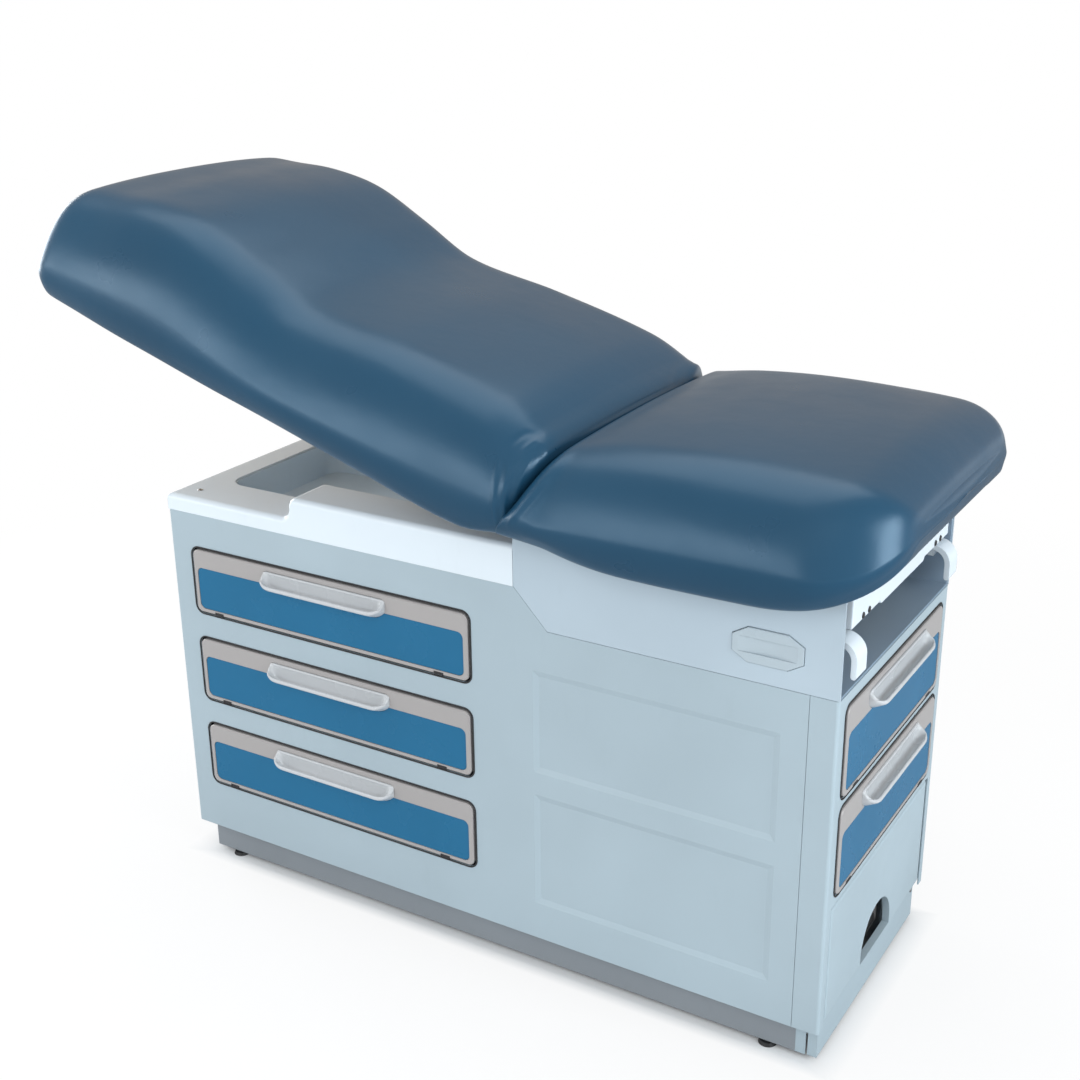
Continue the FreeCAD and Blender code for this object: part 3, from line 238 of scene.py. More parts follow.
@dataclass(frozen=True)
class Look:
    """Plain colour and roughness that a finish starts from."""

    name: str
    colour: Colour
    roughness: float

    def lay(self, shader: Shader) -> None:
        """Lay the patterns of the finish on the plain surface."""
        raise NotImplementedError

    def make(self) -> Material:
        """Build the material."""
        shader = Shader(self.name, self.colour, self.roughness)
        self.lay(shader)
        return shader.material


@dataclass(frozen=True)
class Coating(Look):
    """Paint, moulded plastic or panel with a drifting tone, scuffs, light orange peel and eased edges."""

    peel: float = 0.06
    variation: float = 0.05
    edge: float = 0.0009
    coat: float = 0.0
    scuffs: float = 0.08
    gloss: float = 0.35
    drift_scale: float = 3.1
    scuff_scale: float = 38.0
    scuff_run: Point = (1.0, 1.0, 0.35)
    scuff_band: Point2 = (0.62, 0.8)
    scuff_shade: float = 0.72
    sheen_scale: float = 14.0
    sheen: Point2 = (0.86, 1.16)
    peel_scale: float = 420.0
    peel_depth: float = 0.0006
    coat_roughness: float = 0.12

    def lay(self, shader: Shader) -> None:
        """Lay tone, scuffs, sheen and peel."""
        drift = shader.spread(shader.noise(self.drift_scale), NOISE_BAND)
        colour = shader.mix(drift, shaded(self.colour, 1.0 - self.variation),
                            shaded(self.colour, 1.0 + self.variation))
        scuffs = shader.noise(self.scuff_scale, 6.0, self.scuff_run)
        scuffs = shader.spread(scuffs, self.scuff_band, 0.0, self.scuffs)
        shader.give("Base Color", shader.mix(scuffs, colour, shaded(self.colour, self.scuff_shade)))
        shader.rub(shader.noise(self.sheen_scale, 5.0), self.sheen)
        shader.give("Normal", shader.bump(shader.noise(self.peel_scale, 2.0), self.peel, self.peel_depth,
                                          shader.eased_edges(self.edge)))
        for label, value in (("Specular IOR Level", self.gloss), ("Coat Weight", self.coat),
                             ("Coat Roughness", self.coat_roughness)):
            shader.give(label, value)


@dataclass(frozen=True)
class Vinyl(Look):
    """Soft coated cloth with a fine pebbled grain."""

    bright: Colour
    broad_scale: float = 2.3
    broad_band: Point2 = (0.32, 0.68)
    grain_scale: float = 1300.0
    grain: float = 0.07
    grain_depth: float = 0.0005
    pore_reach: float = 0.12
    pore_share: float = 0.35
    pore_shade: float = 0.55
    rubbed_scale: float = 9.0
    rubbed: Point2 = (0.88, 1.14)
    slack: Point = (26.0, 0.10, 0.004)
    fine: Point = (2600.0, 0.03, 0.0003)
    gloss: float = 0.55
    gloss_tint: Colour = (0.62, 0.82, 1.0)

    def lay(self, shader: Shader) -> None:
        """Lay tone, pores, wear and grain."""
        broad = shader.spread(shader.noise(self.broad_scale, 2.0), self.broad_band)
        colour = shader.mix(broad, self.colour, self.bright)
        pores = shader.spread(shader.cells(self.grain_scale), (0.0, self.pore_reach), self.pore_share, 0.0)
        shader.give("Base Color", shader.mix(pores, colour, shaded(self.colour, self.pore_shade)))
        shader.rub(shader.noise(self.rubbed_scale, 4.0), self.rubbed)
        slack = shader.bump(shader.noise(self.slack[0]), *self.slack[1:])
        pebble = shader.bump(shader.cells(self.grain_scale), self.grain, self.grain_depth, slack)
        shader.give("Normal", shader.bump(shader.noise(self.fine[0], 2.0), *self.fine[1:], pebble))
        shader.give("Specular IOR Level", self.gloss)
        shader.give("Specular Tint", self.gloss_tint)


@dataclass(frozen=True)
class Metal(Look):
    """Bare, plated or blackened metal with drawn streaks."""

    metallic: float = 1.0
    streak: Point = (1.0, 1.0, 1.0)
    streak_scale: float = 120.0
    tones: Point2 = (0.86, 1.06)
    spangle: float = 0.0
    spangle_scale: float = 160.0
    spangle_reach: float = 0.3
    spangle_shade: float = 0.7
    polish: Point2 = (0.75, 1.3)
    polish_band: Point2 = (0.25, 0.75)
    relief: Point2 = (0.08, 0.0004)
    edge: float = 0.0006

    def lay(self, shader: Shader) -> None:
        """Lay streaks, flakes, polish and eased edges."""
        shader.give("Metallic", self.metallic)
        drawn = shader.noise(self.streak_scale, 4.0, self.streak)
        dark, light = (shaded(self.colour, tone) for tone in self.tones)
        colour = shader.mix(shader.spread(drawn, NOISE_BAND), dark, light)
        if self.spangle:
            flakes = shader.cells(self.spangle_scale)
            flakes = shader.spread(flakes, (0.0, self.spangle_reach), self.spangle, 0.0)
            colour = shader.mix(flakes, colour, shaded(self.colour, self.spangle_shade))
        shader.give("Base Color", colour)
        shader.rub(drawn, self.polish, self.polish_band)
        shader.give("Normal", shader.bump(drawn, *self.relief, shader.eased_edges(self.edge)))


@dataclass(frozen=True)
class Plywood(Look):
    """Birch board with long grain."""

    dark: Colour
    grain_scale: float = 30.0
    grain_run: Point = (0.08, 1.0, 1.0)
    grain_twist: float = 0.3
    grain_band: Point2 = (0.35, 0.7)
    wear: Point2 = (0.9, 1.1)
    relief: Point2 = (0.18, 0.0006)

    def lay(self, shader: Shader) -> None:
        """Lay the grain."""
        grain = shader.noise(self.grain_scale, 6.0, self.grain_run, self.grain_twist)
        shader.give("Base Color", shader.mix(shader.spread(grain, self.grain_band), self.colour, self.dark))
        shader.rub(grain, self.wear)
        shader.give("Normal", shader.bump(grain, *self.relief))


@dataclass(frozen=True)
class Rubber(Look):
    """Matt rubber with fine specks."""

    speck_scale: float = 420.0
    speck_band: Point2 = (0.35, 0.7)
    speck_light: float = 1.9
    wear: Point2 = (0.88, 1.1)
    relief: Point2 = (0.2, 0.0005)

    def lay(self, shader: Shader) -> None:
        """Lay the specks."""
        specks = shader.noise(self.speck_scale, 4.0)
        shader.give("Base Color", shader.mix(shader.spread(specks, self.speck_band), self.colour,
                                             shaded(self.colour, self.speck_light)))
        shader.rub(specks, self.wear)
        shader.give("Normal", shader.bump(specks, *self.relief))


class Finish(Enum):
    """Every finish on the table."""

    STEEL_PAINT = Coating("steel_paint", (0.36, 0.447, 0.50), 0.40, peel=0.07)
    # The plinth is painted steel like the panels. This darker copy is painted shade for its place under the
    # cabinet's overhang; its scuffs are wear.
    SHADED_PLINTH_PAINT = Coating("shaded_plinth_paint", (0.23, 0.255, 0.28), 0.45, scuffs=0.24)
    COVER_PAINT = Coating("cover_paint", (0.415, 0.503, 0.572), 0.33, peel=0.04)
    WHITE_MOULDING = Coating("white_moulding_look", (0.68, 0.755, 0.815), 0.22, peel=0.03, variation=0.02,
                             edge=0.0014)
    CAP_WHITE = Coating("cap_white", (0.405, 0.48, 0.53), 0.3, peel=0.03, variation=0.03)
    GREY_LINER = Coating("grey_liner_look", (0.62, 0.74, 0.84), 0.2, peel=0.05, variation=0.04, coat=0.2)
    SLOT_GREY = Coating("slot_grey", (0.27, 0.36, 0.46), 0.45)
    DRAWER_FRAME = Coating("drawer_frame_look", (0.36, 0.345, 0.342), 0.36, peel=0.03, variation=0.03)
    BLUE_PANEL = Coating("blue_panel_look", (0.018, 0.136, 0.268), 0.26, peel=0.012, variation=0.06,
                         gloss=0.2)
    HANDLE_WHITE = Coating("handle_white_look", (0.51, 0.53, 0.55), 0.26, peel=0.012, variation=0.02,
                           edge=0.0018)
    DRAWER_TRAY = Coating("drawer_tray", (0.50, 0.55, 0.58), 0.5)
    VINYL = Vinyl("upholstery_vinyl", (0.011, 0.054, 0.106), 0.31, (0.013, 0.064, 0.124))
    ZINC = Metal("zinc_plate", (0.55, 0.56, 0.57), 0.38, spangle=0.25)
    CHROME = Metal("chrome", (0.62, 0.63, 0.64), 0.12, streak=(0.1, 1.0, 1.0))
    BLACK_STEEL = Metal("black_steel_look", (0.03, 0.032, 0.035), 0.42, metallic=0.3)
    SCREW_STEEL = Metal("screw_steel", (0.50, 0.51, 0.52), 0.3)
    PLYWOOD = Plywood("birch_board", (0.52, 0.37, 0.22), 0.6, (0.36, 0.235, 0.13))
    BLACK_RUBBER = Rubber("black_rubber_look", (0.018, 0.018, 0.02), 0.75)

    @property
    def material(self) -> Material:
        """The finish's material, built on first use."""
        return bpy.data.materials.get(self.value.name) or self.value.make()


NODE_FINISHES: dict[Finish, tuple[str, ...]] = {
    Finish.STEEL_PAINT: ("side_panel_near", "side_panel_far", "head_panel", "front_frame", "step_front",
                         "cabinet_floor", "bulkhead"),
    Finish.SHADED_PLINTH_PAINT: ("plinth_base",),
    Finish.COVER_PAINT: ("side_cover_near", "side_cover_far"),
    Finish.WHITE_MOULDING: ("head_cover", "leg_rest_handle", "heel_cup_near", "heel_cup_far"),
    Finish.CAP_WHITE: ("cover_caps",),
    Finish.GREY_LINER: ("well_tray",),
    Finish.SLOT_GREY: ("slot_liner",),
    Finish.ZINC: ("spring_bracket", "side_runners", "foot_runners", "stirrup_sleeves", "step_box",
                  "lever_bracket"),
    Finish.CHROME: ("gas_rod", "hinge_pins", "stirrup_arm_near", "stirrup_arm_far"),
    Finish.BLACK_STEEL: ("seat_frame", "back_frame", "gas_cylinder", "release_lever", "levelling_feet"),
    Finish.PLYWOOD: ("seat_board", "back_board", "leg_rest_board"),
    Finish.BLACK_RUBBER: ("step_mat",),
    Finish.VINYL: ("seat_cushion", "back_cushion", "leg_rest_pad"),
}
DRAWER_FINISHES: dict[str, Finish] = {"front": Finish.DRAWER_FRAME, "inset": Finish.BLUE_PANEL,
                                      "handle": Finish.HANDLE_WHITE, "box": Finish.DRAWER_TRAY}
DRAWERS: dict[str, float] = {"side_drawer_low": 151.0, "side_drawer_middle": 309.0, "side_drawer_top": 467.0,
                             "foot_drawer_low": 272.0, "foot_drawer_top": 423.0}


def origin() -> np.ndarray:
    """The drawing's origin in the shared frame, in metres."""
    return np.array((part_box("side_panel_near")[0].x, 0.0, 0.0))


def on_frame(points: Sequence) -> np.ndarray:
    """Carry points of the drawing, in millimetres, to the shared frame in metres."""
    return np.asarray(points, dtype=float) / MM + origin()


def off_frame(points: Sequence) -> np.ndarray:
    """Carry points of the shared frame, in metres, to the drawing in millimetres."""
    return MM * (np.asarray(points, dtype=float) - origin())


def spot(x: float, y: float, z: float) -> Point:
    """One point of the drawing in the shared frame."""
    return tuple(on_frame((x, y, z)).tolist())


def linked(name: str, data: bpy.types.ID) -> Piece:
    """Make an object and link it to the scene."""
    made = bpy.data.objects.new(name, data)
    bpy.context.scene.collection.objects.link(made)
    return made


def plain_mesh(piece: Piece) -> None:
    """Turn a piece's live modifiers into its mesh."""
    bpy.context.view_layer.update()
    result = piece.evaluated_get(bpy.context.evaluated_depsgraph_get())
    mesh = bpy.data.meshes.new_from_object(result)
    piece.modifiers.clear()
    old = piece.data
    piece.data = mesh
    mesh.name = old.name
    bpy.data.meshes.remove(old)


def finer(piece: Piece) -> None:
    """Subdivide a piece smoothly and keep the result as its mesh."""
    modifier = piece.modifiers.new("finer", "SUBSURF")
    modifier.levels = modifier.render_levels = 1
    plain_mesh(piece)
    piece.data.shade_smooth()


def rows(mesh: Mesh, kind: str = "co") -> np.ndarray:
    """Coordinates ("co") or normals ("normal") of a mesh's points as rows."""
    flat = np.empty(len(mesh.vertices) * 3)
    mesh.vertices.foreach_get(kind, flat)
    return flat.reshape(-1, 3)


def store(mesh: Mesh, points: np.ndarray) -> None:
    """Put new coordinates into a mesh."""
    mesh.vertices.foreach_set("co", points.ravel())
    mesh.update()


def face_out(mesh: Mesh) -> None:
    """Point the faces of a closed mesh outwards."""
    corners = rows(mesh)
    volume = 0.0
    for face in mesh.polygons:
        first, *rest = corners[list(face.vertices)]
        volume += sum(float(first @ np.cross(b, c)) for b, c in zip(rest, rest[1:]))
    if volume < 0.0:
        mesh.flip_normals()


def tube_piece(name: str, rings: Sequence[np.ndarray], finish: Finish) -> Piece:
    """Make a smooth closed mesh from rings, with one face on each end.

    Args:
        name: Name of the piece.
        rings: Points of each ring on the drawing, equally many in each.
        finish: Its finish.

    Returns:
        The new object, at the origin and linked to the scene.
    """
    around, points = len(rings[0]), np.vstack(rings)
    faces = []
    for start in range(0, len(points) - around, around):
        for k in range(around):
            n = (k + 1) % around
            faces.append((start + k, start + n, start + around + n, start + around + k))
    faces += [tuple(range(around))[::-1], tuple(range(len(points) - around, len(points)))]
    mesh = bpy.data.meshes.new(name)
    mesh.from_pydata(on_frame(points).tolist(), [], faces)
    mesh.validate()
    mesh.shade_smooth()
    mesh.materials.append(finish.material)
    face_out(mesh)
    return linked(name, mesh)


def smooth_curve(places: Sequence[float], values: Sequence[float], at: float) -> float:
    """Value at a place on a smooth curve through values at given places."""
    at = min(max(at, places[0]), places[-1])
    k = max(i for i in range(len(places) - 1) if places[i] <= at)
    slopes = []
    for i in (k, k + 1):
        a, b = max(i - 1, 0), min(i + 1, len(places) - 1)
        slopes.append((values[b] - values[a]) / (places[b] - places[a]))
    span = places[k + 1] - places[k]
    t = (at - places[k]) / span
    start = (1.0 + 2.0 * t) * (1.0 - t) ** 2 * values[k] + t * (1.0 - t) ** 2 * span * slopes[0]
    return start + t * t * (3.0 - 2.0 * t) * values[k + 1] + t * t * (t - 1.0) * span * slopes[1]


def even_steps(count: int) -> list[float]:
    """Shares of a way in equal steps, from 0 to just before 1."""
    return [k / count for k in range(count)]


def ease(t: float | np.ndarray) -> float | np.ndarray:
    """Smooth step from 0 to 1."""
    t = np.clip(t, 0.0, 1.0)
    return t * t * (3.0 - 2.0 * t)


def round_off(distance: float, reach: float) -> float:
    """Share of a quarter round at a distance from its end: 1 at the end, 0 from reach on."""
    t = 1.0 - min(max(distance / reach, 0.0), 1.0)
    return 1.0 - math.sqrt(max(0.0, 1.0 - t * t))


def corner(distance: float, size: Point2) -> float:
    """Drop of a rounded corner at a distance from its end, for a size of (whole drop, reach)."""
    return size[0] * round_off(distance, size[1])


@dataclass
class Stuffing:
    """Swells a closed mesh by a short cloth run; cap is the furthest that a point may move."""

    pressure: float
    cap: float
    frames: int = 20
    evening_rounds: int = 40
    least_hold: float = 0.02
    rules: tuple[tuple[str, float], ...] = (
        ("quality", 6), ("mass", 0.25), ("tension_stiffness", 60.0), ("compression_stiffness", 60.0),
        ("shear_stiffness", 25.0), ("bending_stiffness", 6.0), ("use_pressure", True))

    def run(self, piece: Piece, held: np.ndarray) -> None:
        """Swell a piece.

        Args:
            piece: Closed mesh without modifiers.
            held: One weight for each point, 1 where the cover is fixed.
        """
        group = piece.vertex_groups.new(name="held")
        for index in np.nonzero(held > self.least_hold)[0]:
            group.add([int(index)], float(held[index]), "REPLACE")
        before = rows(piece.data)
        cloth = piece.modifiers.new("stuffing", "CLOTH")
        for name, value in self.rules:
            setattr(cloth.settings, name, value)
        cloth.settings.uniform_pressure_force = self.pressure
        cloth.settings.vertex_group_mass = group.name
        cloth.settings.effector_weights.gravity = 0.0
        cloth.collision_settings.use_collision = False
        cloth.point_cache.frame_start, cloth.point_cache.frame_end = 1, self.frames
        for step in range(1, self.frames + 1):
            bpy.context.scene.frame_set(step)
        result = piece.evaluated_get(bpy.context.evaluated_depsgraph_get())
        moved = rows(result.to_mesh()) - before
        result.to_mesh_clear()
        piece.modifiers.clear()
        piece.vertex_groups.clear()
        bpy.context.scene.frame_set(1)
        facing, free, cap = rows(piece.data, "normal"), 1.0 - held, self.cap / MM
        swell = np.clip((moved * facing).sum(axis=1), 0.0, None)
        swell = cap * np.tanh(self.evened(piece.data, swell * free) / cap)
        store(piece.data, before + facing * (swell * free)[:, None])
        LOG.info("%s swelled by up to %.1f mm", piece.name, MM * float(swell.max()))

    def evened(self, mesh: Mesh, values: np.ndarray) -> np.ndarray:
        """Average values over neighbouring points.

        Args:
            mesh: Mesh with one value for each point.
            values: The values.

        Returns:
            The evened values.
        """
        ends = np.empty(len(mesh.edges) * 2, dtype=np.int32)
        mesh.edges.foreach_get("vertices", ends)
        first, second, size = ends[0::2], ends[1::2], len(values)
        count = np.bincount(ends, minlength=size)
        for _ in range(self.evening_rounds):
            total = np.bincount(first, values[second], size) + np.bincount(second, values[first], size)
            values = 0.5 * values + 0.5 * total / count
        return values


@dataclass
class Section:
    """Shape of one ring of the upholstery, in its own plane."""

    width: float
    bottom: float
    shoulder: float
    edge: float
    crown: float
    roll: float
    inner: float = 0.0
    tuck: float = 15.0
    counts: tuple[int, int, int, int, int] = (6, 5, 12, 14, 13)
    strip_count: int = 5
    tuck_share: float = 0.35
    board_half: float = 206.0
    board_share: float = 0.72
    wall: float = 10.0
    wall_share: float = 0.8
    bulge: float = 0.4
    steepest: float = 0.9
    roll_pull: Point2 = (0.55, 0.60)

    def points(self, draw_in: float, swell: float) -> np.ndarray:
        """Points round the ring.

        Args:
            draw_in: How far the lower edge stands in from the widest place.
            swell: How far the top of the side stands in from it.

        Returns:
            Rows of (y, height), from the middle of the underside over the far side.
        """
        n_under, n_tuck, n_side, n_roll, n_top = self.counts
        tuck = min(self.tuck, self.tuck_share * (self.shoulder - self.bottom))
        low, rise = self.bottom + tuck, self.shoulder - self.bottom - tuck
        foot, top, widest = self.width - draw_in, self.width - swell, self.width + self.bulge * swell
        ledge = top - self.roll
        board = min(self.board_half, self.board_share * (foot - tuck))
        wall = min(board + self.wall, self.wall_share * (foot - tuck))
        half = [(board * k / n_under, self.inner) for k in range(n_under)]
        half += [(board, self.inner), (0.7 * board + 0.3 * wall, 0.8 * self.inner + 0.2 * self.bottom),
                 (0.3 * board + 0.7 * wall, 0.2 * self.inner + 0.8 * self.bottom)]
        for k in range(self.strip_count):
            half.append((wall + (foot - tuck - wall) * k / self.strip_count, self.bottom))
        flare = min(self.steepest, 2.0 * (widest - foot) / rise)
        for t in even_steps(n_tuck):
            y = foot - tuck * (1 - t) ** 2 - 2 * t * (1 - t) * tuck * flare
            half.append((y, self.bottom + tuck * t * t))
        for t in even_steps(n_side):
            half.append(((1 - t) ** 2 * foot + 2 * t * (1 - t) * widest + t * t * top, low + rise * t))
        lean = -2.0 * (self.crown - self.edge) / max(ledge, 1.0)
        a, d = np.array((top, self.shoulder)), np.array((ledge, self.edge))
        b = a + np.array((2.0 * (top - widest) / rise, 1.0)) * self.roll_pull[0] * (self.edge - self.shoulder)
        c = d + np.array((1.0, lean)) * self.roll_pull[1] * self.roll
        for t in even_steps(n_roll):
            p = (1 - t) ** 3 * a + 3 * t * (1 - t) ** 2 * b + 3 * t * t * (1 - t) * c + t ** 3 * d
            half.append((float(p[0]), float(p[1])))
        for k in range(n_top + 1):
            y = ledge * (1.0 - k / n_top)
            half.append((y, self.crown - (self.crown - self.edge) * (y / ledge) ** 2))
        return np.array(half + [(-y, h) for y, h in reversed(half[1:-1])])


@dataclass
class Upholstery:
    """One vinyl cover over the seat and the back, with the crease between them.

    Curves of the seat run over x with heights from the floor, those of the back over the distance s from
    the hinge with heights square to the back. Each round holds a whole drop and its reach.
    """

    half: float = 298.0
    hinge: Point2 = (686.0, 803.0)
    angle: float = 15.0
    draw_in: float = 11.0
    swell: float = 4.0
    seat_front: float = 1214.0
    seat_end: float = 808.0
    back_start: float = 80.0
    back_length: float = 886.0
    crease_x: float = 704.0
    crease_lean: float = 32.0
    crease_depth: float = 27.0
    crease_reach: Point2 = (19.0, 30.0)
    crease_hold: Point2 = (0.28, 0.9)
    crease_gaps: Curve = (0.0, 0.6, 1.5, 2.8, 4.4, 6.2, 8.2, 10.4, 12.8, 15.4, 18.2, 21.4)
    root_gaps: int = 8
    crease_run: Point = (10.2, 58.0, 2.0)
    crease_far: Point2 = (25.5, 61.0)
    ring_counts: tuple[int, int, int, int] = (30, 12, 5, 62)
    held_gap: float = 3.0
    held_level: float = 0.6
    board_gap: float = 1.0
    end_gaps: Curve = (0.0, 0.7, 2.2, 5.0, 9.0, 14.0, 20.0, 28.0, 37.0, 48.0, 60.0)
    end_run: float = 72.0
    end_shares: Curve = (0.97, 0.9, 0.78, 0.62, 0.44, 0.25, 0.08)
    end_bulges: Point2 = (5.0, 10.0)
    seat_x: Curve = (728.0, 752.0, 790.0, 832.0, 900.0, 982.0, 1060.0, 1135.0, 1230.0)
    seat_crown: Curve = (863.0, 868.0, 873.0, 878.0, 882.0, 883.0, 881.0, 877.0, 872.0)
    seat_low: Curve = (728.5, 722.5, 715.0, 710.0, 708.0, 708.0, 709.0, 711.0, 713.0)
    seat_rounds: tuple[Point2, ...] = ((50.0, 84.0), (84.0, 176.0), (105.0, 116.0))
    seat_inner: float = 719.6
    seat_runs: tuple[Run, Run] = ((1214.0, 1104.0, 40), (1115.0, 732.0, 60))
    nose_gap: Curve = (0.0, 14.0, 42.0, 100.0, 300.0)
    nose_fall: Curve = (4.0, 5.0, 6.0, 7.0, 7.0)
    nose_roll: Curve = (36.0, 52.0, 70.0, 88.0, 88.0)
    nose_shoulder: Curve = (807.0, 794.0, 780.0, 771.0, 768.0)
    back_s: Curve = (0.0, 70.0, 250.0, 420.0, 530.0, 630.0, 720.0, 800.0, 886.0)
    back_crown: Curve = (76.0, 94.0, 99.0, 94.0, 123.0, 147.0, 145.0, 131.0, 120.0)
    back_fall: Curve = (6.0, 6.0, 6.0, 6.0, 6.0, 6.0, 6.0, 7.0, 8.0)
    back_low: Curve = (-70.0, -89.0, -83.0, -75.0, -70.5, -64.5, -60.0, -54.5, -49.0)
    back_shoulder: Curve = (-14.0, -18.0, -22.0, -18.0, -2.0, 16.0, 18.0, 16.0, 14.0)
    back_inset: Curve = (2.0, 1.5, 2.0, 2.0, 1.5, 1.0, 1.0, 2.0, 3.0)
    back_roll: Curve = (84.0, 92.0, 98.0, 98.0, 96.0, 96.0, 96.0, 92.0, 84.0)
    back_rounds: tuple[Point2, ...] = ((50.0, 44.0), (24.0, 44.0), (14.0, 24.0), (27.0, 30.0))
    back_inner: float = -46.4
    back_runs: tuple[Run, Run] = ((8.0, 780.0, 120), (786.0, 886.0, 40))
    fold_fade: float = 0.6
    flank: Point2 = (225.0, 265.0)
    upper: Point2 = (838.0, 850.0)
    side_folds: tuple[Fold, ...] = (
        (((667.0, 846.0), (668.0, 800.0), (671.0, 752.0)), 1.5, 2.3),
        (((675.0, 842.0), (675.0, 800.0), (677.0, 756.0)), -1.1, 2.0),
        (((683.0, 838.0), (682.0, 800.0), (682.0, 758.0)), 1.5, 2.1),
        (((696.0, 842.0), (690.0, 806.0), (685.0, 770.0)), -1.3, 2.2),
        (((708.0, 846.0), (699.0, 812.0), (690.0, 780.0)), 1.2, 2.2),
        (((742.0, 832.0), (716.0, 796.0), (690.0, 756.0)), 1.7, 3.0),
        (((752.0, 830.0), (728.0, 796.0), (706.0, 764.0)), -1.2, 3.6))
    top_folds: tuple[Fold, ...] = (
        (((694.0, -258.0), (703.0, -237.0), (717.0, -233.0), (738.0, -250.0)), 1.0, 2.6),
        (((702.0, -262.0), (710.0, -246.0), (719.0, -243.0), (736.0, -262.0)), -0.9, 3.0),
        (((676.0, -262.0), (688.0, -238.0), (706.0, -221.0)), -1.0, 4.0),
        (((738.0, 150.0), (724.0, 196.0), (712.0, 240.0), (702.0, 284.0)), 2.4, 4.4),
        (((742.0, 168.0), (734.0, 205.0), (722.0, 246.0), (714.0, 282.0)), -2.2, 4.0),
        (((726.0, 120.0), (706.0, 186.0), (694.0, 246.0)), -1.1, 5.0))

    def seat_section(self, x: float) -> Section:
        """Section of the seat, heights from the floor."""
        gap = self.seat_front - x
        top, under, side = (corner(gap, size) for size in self.seat_rounds)
        crown = smooth_curve(self.seat_x, self.seat_crown, x) - top
        low = smooth_curve(self.seat_x, self.seat_low, x) + under
        fall, roll, shoulder = (smooth_curve(self.nose_gap, values, gap) for values in
                                (self.nose_fall, self.nose_roll, self.nose_shoulder))
        inner = max(self.seat_inner, low + self.board_gap)
        return Section(self.half - side, low, shoulder, crown - fall, crown, roll, inner)

    def back_section(self, s: float) -> Section:
        """Section of the back, heights from the hinge line square to the back."""
        curves = (self.back_crown, self.back_fall, self.back_shoulder, self.back_inset, self.back_roll,
                  self.back_low)
        crown, fall, shoulder, inset, roll, low = (smooth_curve(self.back_s, values, s) for values in curves)
        top, slope, under, side = (corner(self.back_length - s, size) for size in self.back_rounds)
        crown, shoulder, low, inset = crown - top, shoulder - slope, low + under, inset + side
        inner = max(self.back_inner, low + self.board_gap)
        return Section(self.half - inset, low, shoulder, crown - fall, crown, roll, inner)

    def back_point(self, s: float, height: float) -> Point2:
        """Place (x, z) on the back at a distance from the hinge and a height square to it."""
        turn = math.radians(self.angle)
        return (self.hinge[0] - s * math.cos(turn) + height * math.sin(turn),
                self.hinge[1] + s * math.sin(turn) + height * math.cos(turn))

    def planes(self) -> list[tuple[float, float, float, float]]:
        """Ring planes from the seat's front to the head end.

        Returns:
            Rows of x and z of the plane's foot on the hinge level, its lean in degrees, and the
            distance from the crease: below 0 on the seat, above 0 on the back.
        """
        level, (n_seat, n_crease, n_root, n_back) = self.hinge[1], self.ring_counts
        front = [self.seat_front - gap for gap in self.end_gaps]
        front += list(np.linspace(self.seat_front - self.end_run, self.seat_end, n_seat))[:-1]
        planes = [(x, level, 0.0, self.crease_x - x) for x in front]
        reach = self.seat_end - self.crease_x
        for d in reversed([*self.crease_gaps[1:], *np.linspace(self.crease_far[0], reach, n_crease)]):
            planes.append((self.crease_x + d, level, self.crease_lean * (1.0 - ease(d / reach)), -d))
        end_x, end_z = self.back_point(self.back_start, 0.0)
        reach = math.hypot(self.crease_x - end_x, level - end_z)
        root = self.crease_gaps[:self.root_gaps]
        for d in (*root, *np.arange(*self.crease_run), *np.linspace(self.crease_far[1], reach, n_root)):
            t = d / reach
            lean = self.crease_lean + (self.angle - self.crease_lean) * ease(t)
            planes.append((self.crease_x + (end_x - self.crease_x) * t, level + (end_z - level) * t, lean, d))
        body = list(np.linspace(self.back_start, self.back_length - self.end_run, n_back))[1:]
        for s in body + [self.back_length - gap for gap in reversed(self.end_gaps)]:
            planes.append((*self.back_point(s, 0.0), self.angle, reach + s - self.back_start))
        return planes

    def profile(self, field: str) -> np.ndarray:
        """One line of the cover along the table, in the plane y = 0.

        Args:
            field: The height taken from each section.

        Returns:
            Rows of (x, z) from the seat's front to the head end.
        """
        seat, back = (np.concatenate([np.linspace(*run) for run in runs])
                      for runs in (self.seat_runs, self.back_runs))
        line = [(x, getattr(self.seat_section(x), field)) for x in seat]
        return np.array(line + [self.back_point(s, getattr(self.back_section(s), field)) for s in back])

    def cut(self, lines: list[np.ndarray], x: float, z: float, lean: float, gap: float) -> Section:
        """Section of the cover on a leaning plane.

        Args:
            lines: Lines of the underside, shoulder, edge, crown and board.
            x: Foot of the plane on the drawing.
            z: Its height.
            lean: Its lean in degrees.
            gap: Distance from the crease.

        Returns:
            The section, heights from the plane's foot.
        """
        turn = math.radians(lean)
        up = np.array((math.sin(turn), math.cos(turn)))
        across = np.array((up[1], -up[0]))
        heights = []
        for line in lines:
            offset = line - np.array((x, z))
            side = offset @ across
            places = np.nonzero((side[:-1] >= 0.0) & (side[1:] < 0.0))[0]
            if len(places):
                k = places[0]
                t = side[k] / (side[k] - side[k + 1])
                heights.append(float((offset[k] + (offset[k + 1] - offset[k]) * t) @ up))
            else:
                heights.append(float(offset[0 if side[0] < 0.0 else -1] @ up))
        if gap <= 0.0:
            shape = self.seat_section(x)
        else:
            turn = math.radians(self.angle)
            s = (x - self.hinge[0]) * -math.cos(turn) + (z - self.hinge[1]) * math.sin(turn)
            shape = self.back_section(min(max(s, 0.0), self.back_length))
        return Section(shape.width, *heights[:4], shape.roll, heights[4])

